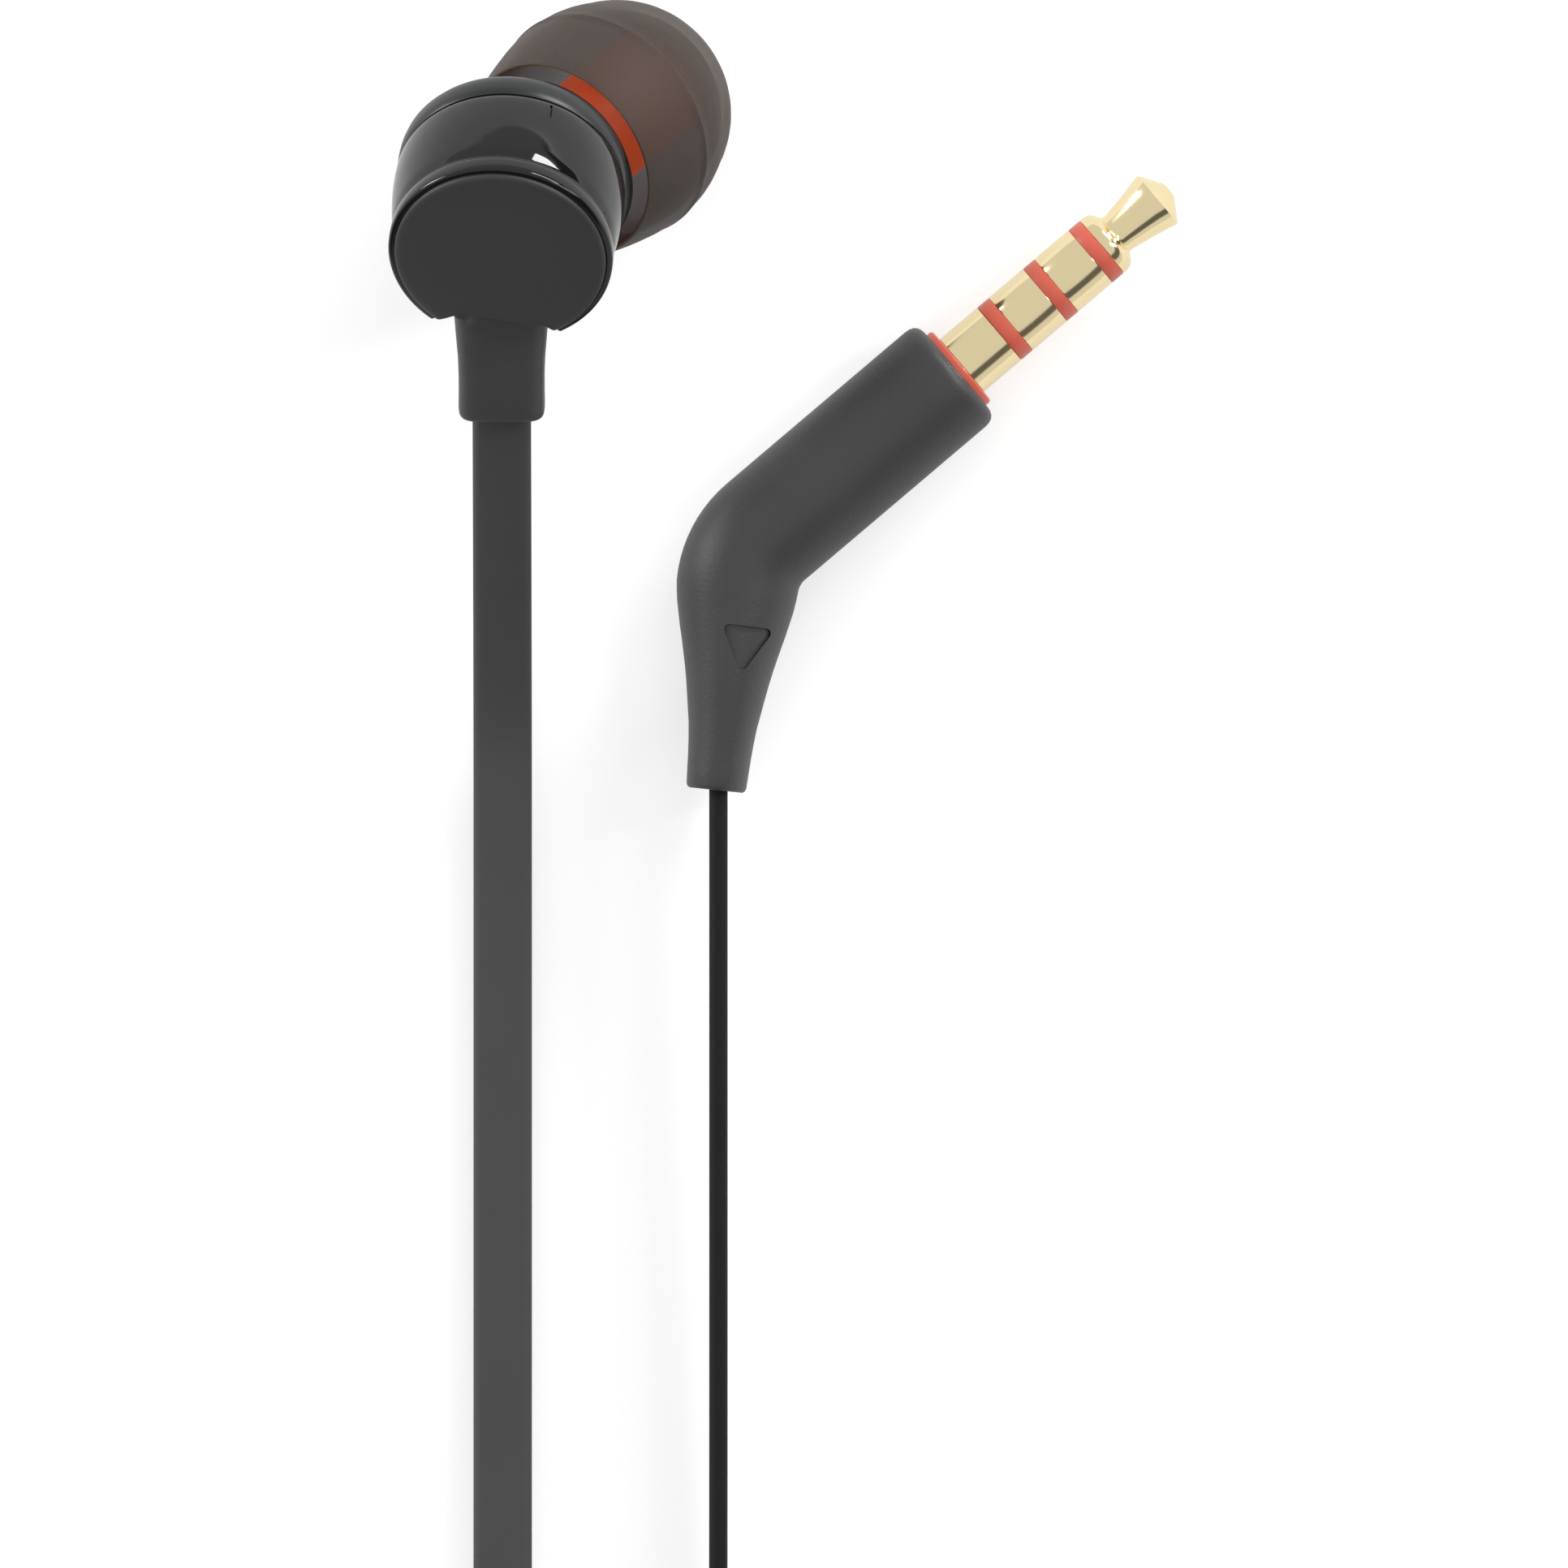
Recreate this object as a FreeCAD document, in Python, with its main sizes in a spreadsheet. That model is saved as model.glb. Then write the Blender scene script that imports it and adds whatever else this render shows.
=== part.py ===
import FreeCAD, Part
import math
import os
import Sketcher
from FreeCAD import Placement, Rotation, Vector

# Wired in-ear earphones laid out on a table, seen from above as in the photograph.
# Millimetres, +Z up, +Y towards the top of the picture, table at Z = 0.

doc = FreeCAD.newDocument("WiredEarphones")
sheet = doc.addObject("Spreadsheet::Sheet", "Dims")

driving = {
    # Earbud housing, measured along its own axis from the back cap to the front
    "cap_radius": 5.42,
    "cap_thick": 0.9,
    "notch_height": 3.97,
    "notch_inner_width": 4.4,
    "notch_outer_width": 6.12,
    "notch_offset": 0.55,
    "drum_radius": 5.86,
    "waist_radius": 5.55,
    "flange_radius": 5.74,
    "seam_height": 6.25,
    "front_height": 8.3,
    "shell_wall": 0.7,
    # Nozzle
    "nozzle_radius": 2.3,
    "nozzle_bore": 1.6,
    "nozzle_length": 6.6,
    "nozzle_lip": 0.25,
    "nozzle_root_radius": 4.85,
    # Ear tip, measured along its own axis from the open rim to the front
    "tip_rim_radius": 5.5,
    "tip_bulge_radius": 6.2,
    "tip_bulge_height": 4.2,
    "tip_ball_radius": 5.85,
    "tip_ball_height": 5.4,
    "tip_length": 9.9,
    "tip_wall": 0.55,
    "tip_standoff": 2.38,
    "core_radius": 3.0,
    "core_bore": 2.35,
    # Driver capsule
    "driver_radius": 5.1,
    "driver_depth": 3.3,
    "magnet_radius": 2.3,
    "magnet_thick": 1.4,
    "voice_coil_radius": 2.55,
    "voice_coil_wall": 0.18,
    "cone_travel": 0.15,
    # Strain relief at the earbud
    "relief_top_width": 4.85,
    "relief_end_width": 4.45,
    "relief_top_thick": 3.8,
    "relief_end_thick": 3.3,
    "relief_length": 8.0,
    # Flat cord
    "cord_width": 3.0,
    "cord_thick": 0.95,
    "turn_pitch": 1.4,
    "layer_pitch": 3.45,
    "coil_base": 0.6,
    "climb_dip": 1.0,
    "tie_thick": 0.5,
    "tie_width": 4.0,
    # Plug, measured along its axis from the front face of its boot
    "plug_radius": 1.75,
    "plug_core_radius": 1.2,
    "plug_pin_radius": 0.5,
    "collar_radius": 2.35,
    "collar_thick": 0.35,
    "sleeve_end": 2.9,
    "band_width": 0.75,
    "contact_length": 2.3,
    "tip_contact_end": 14.3,
    "boot_radius": 3.19,
    # Remote control in the left cord
    "remote_length": 28.0,
    "remote_width": 6.6,
    "remote_height": 4.4,
    "remote_wall": 0.8,
    "button_length": 8.0,
    "button_width": 3.6,
    "button_travel": 0.35,
    # Splitter
    "splitter_length": 9.5,
    "splitter_thick": 3.6,
    "splitter_tall": 7.6,
}
for row, (alias, value) in enumerate(driving.items(), start=1):
    sheet.set("A%d" % row, alias.replace("_", " "))
    sheet.set("B%d" % row, str(value))
    sheet.setAlias("B%d" % row, alias)
doc.recompute()


def dim(alias):
    return float(sheet.get(alias))


# Where things lie on the table, from the photograph, about the middle of the picture
relief_end = Vector(-14.42, 19.2, 9.7)
relief_slope = 30.0
cap_from_relief = Vector(-0.06, 7.48, 8.88)
drum_axis = Vector(0.09, 0.644, -0.76)
drum_side = Vector(0.9903, -0.1384, 0.0)
nozzle_foot = Vector(1.16, 1.32, 8.27)
nozzle_lean = Vector(0.470, 0.079, 0.879)
plug_face = Vector(8.83, 21.20, 3.2)
plug_heading = 40.3
main_coil_centre = Vector(14.12, -61.3, 0.0)
main_coil_radius = 17.5
leg_coil_centre = Vector(3.68, -102.0, 0.0)
left_coil_radius = 18.1
right_coil_radius = 17.0
right_entry_angle = 131.0
right_lead_run = 15.0
remote_middle_y = -60.0
remote_cord_height = 1.6
lead_run = 3.0
splitter_top = Vector(32.7, -94.4, 8.0)
left_cord_x = relief_end.x
origin_x = 0.1132
origin_y = -19.577

nodes = []


def keep(item, place=None):
    if place is not None:
        item.Placement = place
    nodes.append(item)
    return item


def bind(item, **sizes):
    for prop, formula in sizes.items():
        item.setExpression(prop, formula)
    return item


def helper(kind, name, place=None, **sizes):
    item = doc.addObject(kind, name)
    if place is not None:
        item.Placement = place
    return bind(item, **sizes)


def at(x, y, z):
    return Placement(Vector(x, y, z), Rotation())


def cylinder(name, radius, height, base="0"):
    item = helper("Part::Cylinder", name, Radius=radius, Height=height)
    item.setExpression("Placement.Base.z", base)
    return item


def joined(name, *shapes):
    item = doc.addObject("Part::MultiFuse", name)
    item.Shapes = list(shapes)
    item.Refine = True
    return item


def less(name, base, tool):
    item = doc.addObject("Part::Cut", name)
    item.Base = base
    item.Tool = tool
    return item


def tube(name, outer, inner, height, base="0"):
    wall = cylinder(name + "_outside", outer, height, base)
    bore = cylinder(name + "_bore", inner, height, base)
    return less(name, wall, bore)


# A turned piece: a PartDesign revolution of a closed outline of (radius, height) formulas
def turned(name, outline):
    body = doc.addObject("PartDesign::Body", name)
    sketch = body.newObject("Sketcher::SketchObject", name + "_outline")
    plane = [item for item in body.Origin.OriginFeatures if item.Role == "XZ_Plane"][0]
    sketch.AttachmentSupport = (plane, [""])
    sketch.MapMode = "FlatFace"
    spots = []
    for radius, height in outline:
        x = float(sheet.evalExpression(radius))
        y = float(sheet.evalExpression(height))
        spots.append(Vector(x, y, 0))
    count = len(spots)
    for k in range(count):
        sketch.addGeometry(Part.LineSegment(spots[k], spots[(k + 1) % count]), False)
    for k in range(count):
        sketch.addConstraint(Sketcher.Constraint("Coincident", k, 2, (k + 1) % count, 1))
    for k, (radius, height) in enumerate(outline):
        for kind, formula, amount, axis in (
            ("DistanceX", radius, spots[k].x, -2),
            ("DistanceY", height, spots[k].y, -1),
        ):
            if abs(amount) < 1e-9:
                sketch.addConstraint(Sketcher.Constraint("PointOnObject", k, 1, axis))
                continue
            number = sketch.addConstraint(Sketcher.Constraint(kind, -1, 1, k, 1, amount))
            label = "%s%d" % (kind, k)
            sketch.renameConstraint(number, label)
            sketch.setExpression("Constraints." + label, formula)
    spin = body.newObject("PartDesign::Revolution", name + "_turn")
    spin.Profile = sketch
    spin.ReferenceAxis = (sketch, ["V_Axis"])
    spin.Angle = 360
    return body


# A padded box in PartDesign, centred in X and Y, with its upright edges rounded
def padded(name, width, length, height, rounding):
    body = doc.addObject("PartDesign::Body", name)
    sketch = body.newObject("Sketcher::SketchObject", name + "_plan")
    plane = [item for item in body.Origin.OriginFeatures if item.Role == "XY_Plane"][0]
    sketch.AttachmentSupport = (plane, [""])
    sketch.MapMode = "FlatFace"
    add_rectangle(sketch, width, length)
    pad = body.newObject("PartDesign::Pad", name + "_pad")
    pad.Profile = sketch
    pad.setExpression("Length", height)
    doc.recompute()
    if rounding:
        upright = []
        for number, edge in enumerate(pad.Shape.Edges, start=1):
            rise = edge.Vertexes[-1].Point - edge.Vertexes[0].Point
            if abs(rise.z) > 1e-6:
                upright.append("Edge%d" % number)
        fillet = body.newObject("PartDesign::Fillet", name + "_corners")
        fillet.Base = (pad, upright)
        fillet.Radius = rounding
    return body


def add_rectangle(sketch, width, length):
    half_x = float(sheet.evalExpression(width)) / 2
    half_y = float(sheet.evalExpression(length)) / 2
    corners = [(-half_x, -half_y), (half_x, -half_y), (half_x, half_y), (-half_x, half_y)]
    for k in range(4):
        start = Vector(corners[k][0], corners[k][1], 0)
        end = Vector(corners[(k + 1) % 4][0], corners[(k + 1) % 4][1], 0)
        sketch.addGeometry(Part.LineSegment(start, end), False)
    for k in range(4):
        sketch.addConstraint(Sketcher.Constraint("Coincident", k, 2, (k + 1) % 4, 1))
    for k in (0, 2):
        sketch.addConstraint(Sketcher.Constraint("Horizontal", k))
        sketch.addConstraint(Sketcher.Constraint("Vertical", k + 1))
    sketch.addConstraint(Sketcher.Constraint("Symmetric", 0, 1, 1, 2, -1, 1))
    wide = sketch.addConstraint(Sketcher.Constraint("DistanceX", 0, 1, 0, 2, 2 * half_x))
    long = sketch.addConstraint(Sketcher.Constraint("DistanceY", 1, 1, 1, 2, 2 * half_y))
    sketch.renameConstraint(wide, "wide")
    sketch.renameConstraint(long, "long")
    sketch.setExpression("Constraints.wide", width)
    sketch.setExpression("Constraints.long", length)


# A rectangular hollow or window cut down from the top face of a padded box
def pocketed(body, suffix, width, length, depth, height, shift_y=0.0, upward=False):
    sketch = body.newObject("Sketcher::SketchObject", body.Name + suffix)
    plane = [item for item in body.Origin.OriginFeatures if item.Role == "XY_Plane"][0]
    sketch.AttachmentSupport = (plane, [""])
    sketch.MapMode = "FlatFace"
    sketch.AttachmentOffset = at(0, shift_y, float(sheet.evalExpression(height)))
    add_rectangle(sketch, width, length)
    doc.recompute()
    before = body.Tip.Shape.Volume
    pocket = body.newObject("PartDesign::Pocket", body.Name + suffix + "_cut")
    pocket.Profile = sketch
    pocket.setExpression("Length", depth)
    pocket.Reversed = upward
    doc.recompute()
    if pocket.Shape.Volume > before - 0.5:
        raise RuntimeError("%s%s cuts nothing" % (body.Name, suffix))
    return pocket


# Earbud. The left one is seen in the photograph; the right one is its mirror image.
def earbud(side, hand, stand):
    axis = Vector(hand * drum_axis.x, drum_axis.y, drum_axis.z).normalize()
    across = Vector(drum_side.x, hand * drum_side.y, 0).normalize()
    drum_turn = Rotation(across, axis.cross(across), axis, "ZXY")
    cap_spot = Vector(hand * cap_from_relief.x, cap_from_relief.y, cap_from_relief.z)
    drum = stand.multiply(Placement(cap_spot, drum_turn))
    lean = Vector(hand * nozzle_lean.x, nozzle_lean.y, nozzle_lean.z).normalize()
    foot = Vector(hand * nozzle_foot.x, nozzle_foot.y, nozzle_foot.z)
    nozzle_turn = Rotation(Vector(0, 0, 1), lean)
    nozzle = drum.multiply(Placement(foot, nozzle_turn))
    tip = nozzle.multiply(at(0, 0, dim("tip_standoff")))

    # Matte cap with a notch above the strain relief
    name = side + "_back_cap"
    disc = turned(name + "_disc", [
        ("0", "0"),
        ("Dims.cap_radius - 0.5", "0.03"),
        ("Dims.cap_radius - 0.12", "0.1"),
        ("Dims.cap_radius", "0.24"),
        ("Dims.cap_radius", "Dims.cap_thick"),
        ("0", "Dims.cap_thick"),
    ])
    keep(less(name, disc, notch(name + "_notch", hand, 2.5)), drum)

    # Glossy rear shell, a cup from the lip round the cap to the seam
    name = side + "_rear_shell"
    shell = turned(name + "_cup", [
        ("0", "Dims.cap_thick"),
        ("Dims.cap_radius + 0.03", "Dims.cap_thick"),
        ("Dims.cap_radius + 0.03", "0.32"),
        ("Dims.flange_radius - 0.1", "0.32"),
        ("Dims.flange_radius", "0.45"),
        ("Dims.flange_radius", "1.2"),
        ("Dims.flange_radius - 0.08", "1.36"),
        ("Dims.waist_radius", "1.48"),
        ("Dims.waist_radius", "1.64"),
        ("Dims.waist_radius + 0.12", "2.0"),
        ("Dims.drum_radius - 0.11", "2.5"),
        ("Dims.drum_radius", "3.5"),
        ("Dims.drum_radius + 0.06", "4.7"),
        ("Dims.drum_radius", "Dims.seam_height"),
        ("Dims.drum_radius - Dims.shell_wall", "Dims.seam_height"),
        ("Dims.drum_radius - Dims.shell_wall", "4.0"),
        ("Dims.waist_radius - Dims.shell_wall", "2.6"),
        ("Dims.waist_radius - Dims.shell_wall", "2.0"),
        ("Dims.waist_radius - Dims.shell_wall - 0.4", "Dims.cap_thick + Dims.shell_wall"),
        ("0", "Dims.cap_thick + Dims.shell_wall"),
    ])
    relief_local = drum.inverse().multiply(stand)
    slot = relief_solid(name + "_slot", 0.05)
    slot.Placement = relief_local.multiply(relief_place())
    gate = notch(name + "_notch", hand, dim("cap_thick") + 0.5)
    keep(less(name, shell, joined(name + "_openings", slot, gate)), drum)

    # Front shell with the angled nozzle moulded on
    name = side + "_front_shell"
    ring = turned(name + "_dome", [
        ("0", "Dims.front_height + 0.55"),
        ("Dims.drum_radius - 2.6", "Dims.front_height + 0.4"),
        ("Dims.drum_radius - 0.9", "Dims.front_height"),
        ("Dims.drum_radius", "Dims.front_height - 0.6"),
        ("Dims.drum_radius", "Dims.seam_height"),
        ("Dims.drum_radius - Dims.shell_wall", "Dims.seam_height"),
        ("Dims.drum_radius - Dims.shell_wall - 0.4", "Dims.front_height - 0.7"),
        ("0", "Dims.front_height - 0.5"),
    ])
    stem = turned(name + "_stem", [
        ("0", "0"),
        ("Dims.nozzle_root_radius", "0"),
        ("Dims.nozzle_root_radius", "0.6"),
        ("Dims.nozzle_root_radius - 0.15", "2.0"),
        ("Dims.nozzle_root_radius - 0.35", "2.5"),
        ("Dims.nozzle_root_radius - 0.8", "2.8"),
        ("Dims.nozzle_root_radius - 1.5", "2.92"),
        ("Dims.nozzle_radius", "2.95"),
        ("Dims.nozzle_radius", "Dims.nozzle_length + 0.6"),
        ("Dims.nozzle_radius + Dims.nozzle_lip", "Dims.nozzle_length + 1.0"),
        ("Dims.nozzle_radius - 0.1", "Dims.nozzle_length + 2.0"),
        ("0", "Dims.nozzle_length + 2.0"),
    ])
    stem.Placement = Placement(foot - lean * 0.6, nozzle_turn)
    below = cylinder(name + "_below", "9", "6", "Dims.seam_height - 5.7")
    outside = joined(name + "_outside", ring, less(name + "_neck", stem, below))
    bore = cylinder(name + "_bore", "Dims.nozzle_bore", "Dims.nozzle_length + 4")
    bore.setExpression("Placement.Base.z", None)
    bore.Placement = Placement(foot - lean * 1.6, nozzle_turn)
    keep(less(name, outside, bore), drum)

    # Wire mesh inside the mouth of the nozzle
    mesh = cylinder(side + "_nozzle_mesh", "Dims.nozzle_bore", "0.2")
    mesh.setExpression("Placement.Base.z", None)
    keep(mesh, nozzle.multiply(at(0, 0, dim("nozzle_length") + 1.0)))

    # Silicone ear tip: smoky dome and skirt, bonded on a coloured core
    name = side + "_ear_tip"
    dome = turned(name + "_outside", tip_outline("0"))
    hollow = turned(name + "_hollow", tip_outline("Dims.tip_wall"))
    middle = cylinder(name + "_middle", "Dims.core_radius", "Dims.tip_length + 2", "-1")
    keep(less(name, dome, joined(name + "_inside", hollow, middle)), tip)
    core = turned(side + "_tip_core", [
        ("Dims.core_bore + 0.05", "0.3"),
        ("Dims.core_radius", "0.3"),
        ("Dims.core_radius", "Dims.tip_length - 0.15"),
        ("Dims.core_radius - 0.45", "Dims.tip_length - 0.15"),
        ("Dims.core_bore - 0.35", "Dims.tip_length - 0.9"),
        ("Dims.core_bore - 0.35", "Dims.nozzle_length + 1.75 - Dims.tip_standoff"),
        ("Dims.core_bore + 0.3", "Dims.nozzle_length + 1.75 - Dims.tip_standoff"),
        ("Dims.core_bore + 0.3", "Dims.nozzle_length - 0.4 - Dims.tip_standoff"),
        ("Dims.core_bore + 0.05", "Dims.nozzle_length - 0.8 - Dims.tip_standoff"),
    ])
    keep(core, tip)

    # Driver capsule: frame, grille, magnet system, and the cone that moves
    top = "Dims.seam_height - 0.25"
    name = side + "_driver_frame"
    frame = turned(name, [
        ("Dims.driver_radius - 0.45", top),
        ("Dims.driver_radius", top),
        ("Dims.driver_radius", top + " - 1.4"),
        ("3.5", top + " - Dims.driver_depth"),
        ("3.1", top + " - Dims.driver_depth"),
        ("3.1", top + " - Dims.driver_depth + 0.6"),
        ("Dims.driver_radius - 0.6", top + " - 1.2"),
        ("Dims.driver_radius - 0.6", top + " - 0.75"),
        ("Dims.driver_radius - 0.45", top + " - 0.75"),
    ])
    keep(frame, drum)
    name = side + "_driver_grille"
    plate = cylinder(name + "_plate", "Dims.driver_radius - 0.05", "0.2", top)
    holes = []
    for ring_radius, count in ((1.2, 5), (2.9, 10)):
        for k in range(count):
            turn = 2 * math.pi * k / count
            hole = helper("Part::Cylinder", "%s_hole_%d_%d" % (name, count, k), Radius="0.42", Height="2")
            spot = Vector(ring_radius * math.cos(turn), ring_radius * math.sin(turn), dim("seam_height") - 1)
            hole.Placement = Placement(spot, Rotation())
            holes.append(hole)
    keep(less(name, plate, joined(name + "_holes", *holes)), drum)
    floor = top + " - Dims.driver_depth - 0.3"
    name = side + "_driver_yoke"
    yoke = turned(name, [
        ("0", floor),
        ("3.1", floor),
        ("3.1", floor + " + 2.0"),
        ("2.85", floor + " + 2.0"),
        ("2.85", floor + " + 0.3"),
        ("0", floor + " + 0.3"),
    ])
    keep(yoke, drum)
    magnet = cylinder(side + "_driver_magnet", "Dims.magnet_radius", "Dims.magnet_thick")
    magnet.setExpression("Placement.Base.z", None)
    seat = dim("seam_height") - 0.25 - dim("driver_depth")
    keep(magnet, drum.multiply(at(0, 0, seat)))
    pole = cylinder(side + "_driver_pole_plate", "Dims.magnet_radius + 0.05", "0.3")
    pole.setExpression("Placement.Base.z", None)
    keep(pole, drum.multiply(at(0, 0, seat + dim("magnet_thick"))))
    coil = tube(side + "_voice_coil", "Dims.voice_coil_radius + Dims.voice_coil_wall",
                "Dims.voice_coil_radius", "1.5", top + " - Dims.driver_depth + 0.75")
    keep(coil, drum)
    lift = top + " - Dims.driver_depth + 2.25"
    cone_piece = turned(side + "_diaphragm", [
        ("0", lift + " + 0.3"),
        ("1.6", lift + " + 0.18"),
        ("2.3", lift),
        ("3.0", lift),
        ("3.4", lift + " + 0.2"),
        ("Dims.driver_radius - 0.65", lift + " + 0.2"),
        ("Dims.driver_radius - 0.65", lift + " + 0.28"),
        ("3.35", lift + " + 0.28"),
        ("2.9", lift + " + 0.08"),
        ("2.35", lift + " + 0.08"),
        ("1.6", lift + " + 0.26"),
        ("0", lift + " + 0.38"),
    ])
    keep(cone_piece, drum)
    board = padded(side + "_terminal_board", "3.6", "2.4", "0.3", 0.3)
    board_height = dim("seam_height") - 0.25 - dim("driver_depth") - 0.6
    keep(board, drum.multiply(at(0, -0.6, board_height)))

    # Rubber strain relief
    name = side + "_strain_relief"
    whole = relief_solid(name + "_whole", 0.0)
    room = Part.makeCylinder(dim("drum_radius") - dim("shell_wall") + 0.05, 6)
    room.translate(Vector(0, 0, dim("cap_thick") + 1.6))
    from_drum = relief_place().inverse().multiply(stand.inverse()).multiply(drum)
    room = room.transformGeometry(from_drum.toMatrix())
    keep(less(name, whole, solid_feature(name + "_room", room)), stand.multiply(relief_place()))
    return drum, tip


# The notch in the rim of the cap, in the housing's frame, down to a given height
def notch(name, hand, top):
    inner = dim("notch_inner_width") / 2
    outer = dim("notch_outer_width") / 2
    low = dim("notch_height")
    rise = math.sqrt(dim("cap_radius") ** 2 - outer ** 2) - low
    wide = inner + 2.5 * (outer - inner)
    corners = [(-inner, low), (inner, low), (wide, low + 2.5 * rise), (wide, 9), (-wide, 9), (-wide, low + 2.5 * rise)]
    points = [Vector(x + hand * dim("notch_offset"), y, -1) for x, y in corners]
    face = Part.Face(Part.makePolygon(points + points[:1]))
    return solid_feature(name, face.extrude(Vector(0, 0, top + 1)))


def tip_outline(inset):
    ball = "Dims.tip_ball_radius - " + inset
    outline = [
        ("0", "0"),
        ("Dims.tip_rim_radius - " + inset, "0"),
        ("Dims.tip_bulge_radius - 0.22 - " + inset, "Dims.tip_bulge_height - 1.6"),
        ("Dims.tip_bulge_radius - 0.05 - " + inset, "Dims.tip_bulge_height - 0.25"),
        ("Dims.tip_bulge_radius + 0.03 - " + inset, "Dims.tip_bulge_height"),
        ("Dims.tip_bulge_radius - 0.06 - " + inset, "Dims.tip_bulge_height + 0.3"),
    ]
    for climb in (7.0, 19.0, 31.0, 43.0):
        outline.append(("(%s) * cos(%g deg)" % (ball, climb),
                        "Dims.tip_ball_height + (%s) * sin(%g deg)" % (ball, climb)))
    if inset == "0":
        outline.append(("Dims.core_radius + 0.1", "Dims.tip_length"))
        outline.append(("0", "Dims.tip_length"))
    else:
        outline.append(("Dims.core_radius - 0.1", "Dims.tip_length - Dims.tip_wall - 0.3"))
        outline.append(("0", "Dims.tip_length - Dims.tip_wall - 0.3"))
    return outline


# The strain relief's own frame has its origin at the cord's exit and +Z towards the housing
def relief_place():
    return Placement(Vector(0, 0, 0), Rotation(Vector(1, 0, 0), relief_slope - 90))


def relief_solid(name, gap):
    low = rounded_wire(dim("relief_end_width") + 2 * gap, dim("relief_end_thick") + 2 * gap, 1.2)
    high = rounded_wire(dim("relief_top_width") + 2 * gap, dim("relief_top_thick") + 2 * gap, 1.4)
    high.translate(Vector(0, 0, dim("relief_length")))
    return solid_feature(name, Part.makeLoft([low, high], True, False))


# Sections of the flat cord and of the strain relief: a rectangle with rounded corners
def rounded_wire(width, thick, corner):
    x = width / 2
    y = thick / 2
    c = corner * math.sqrt(0.5)
    edges = []
    quarter = [
        (Vector(x - corner, -y, 0), Vector(x - corner + c, -y + corner - c, 0), Vector(x, -y + corner, 0)),
        (Vector(x, y - corner, 0), Vector(x - corner + c, y - corner + c, 0), Vector(x - corner, y, 0)),
        (Vector(-x + corner, y, 0), Vector(-x + corner - c, y - corner + c, 0), Vector(-x, y - corner, 0)),
        (Vector(-x, -y + corner, 0), Vector(-x + corner - c, -y + corner - c, 0), Vector(-x + corner, -y, 0)),
    ]
    for k in range(4):
        edges.append(Part.Arc(*quarter[k]).toShape())
        edges.append(Part.LineSegment(quarter[k][2], quarter[(k + 1) % 4][0]).toShape())
    return Part.Wire(edges)


# The cord's section at a point: along is the way it runs, roll 0 lies flat and 90 stands on edge
def cord_section(point, along, roll):
    along = Vector(along).normalize()
    side = Vector(0, 0, 1).cross(along).normalize()
    over = along.cross(side)
    turn = math.radians(roll)
    wide = side * math.cos(turn) + over * math.sin(turn)
    wire = rounded_wire(dim("cord_width"), dim("cord_thick"), 0.4)
    wire.Placement = Placement(point, Rotation(wide, along.cross(wide), along, "ZXY"))
    return wire


def solid_feature(name, shape):
    if not shape.isValid() or shape.Volume <= 0:
        raise RuntimeError(name + " is not a valid solid")
    item = doc.addObject("Part::Feature", name)
    item.Shape = shape
    return item


lengths = {}


# A free stretch of cord: straight runs joined by tangent arcs, as large as the runs allow
def stretch(name, points, roll_start, roll_end):
    arcs = []
    edges = []
    start = points[0]
    for k in range(1, len(points) - 1):
        back = points[k - 1] - points[k]
        ahead = points[k + 1] - points[k]
        turn = math.pi - back.getAngle(ahead)
        shorter = min(back.Length, ahead.Length)
        reach = 0.45 * shorter
        radius = reach / math.tan(turn / 2)
        first = points[k] + back.normalize() * reach
        last = points[k] + ahead.normalize() * reach
        inward = (back + ahead).normalize()
        middle = points[k] + inward * (radius / math.cos(turn / 2) - radius)
        print("%s: bend radius %.1f mm" % (name, radius))
        edges.append(Part.LineSegment(start, first).toShape())
        edges.append(Part.Arc(first, middle, last).toShape())
        arcs.append((first, middle, last))
        start = last
    edges.append(Part.LineSegment(start, points[-1]).toShape())
    route = Part.Wire(edges)
    if roll_start == roll_end:
        shell = Part.BRepOffsetAPI.MakePipeShell(route)
        if roll_start == 90:
            shell.setBiNormalMode(Vector(0, 0, 1))
        shell.add(cord_section(points[0], points[1] - points[0], roll_start))
        shell.build()
        shell.makeSolid()
        solid = shell.shape()
    else:
        sections = []
        covered = 0.0
        for edge in edges:
            steps = 4 if edge.Length > 6 else 3
            for k in range(steps):
                spot = edge.FirstParameter + (edge.LastParameter - edge.FirstParameter) * k / steps
                along = edge.tangentAt(spot)
                share = (covered + edge.Length * k / steps) / route.Length
                roll = roll_start + (roll_end - roll_start) * share
                sections.append(cord_section(edge.valueAt(spot), along, roll))
            covered += edge.Length
        final = edges[-1]
        sections.append(cord_section(points[-1], final.tangentAt(final.LastParameter), roll_end))
        solid = Part.makeLoft(sections, True, True)
    expected = Part.Face(cord_section(points[0], points[1] - points[0], 0)).Area * route.Length
    print("%s: length %.1f mm, volume %.1f of %.1f mm3" % (name, route.Length, solid.Volume, expected))
    lengths[name] = route.Length
    return keep(solid_feature(name, solid))


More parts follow.
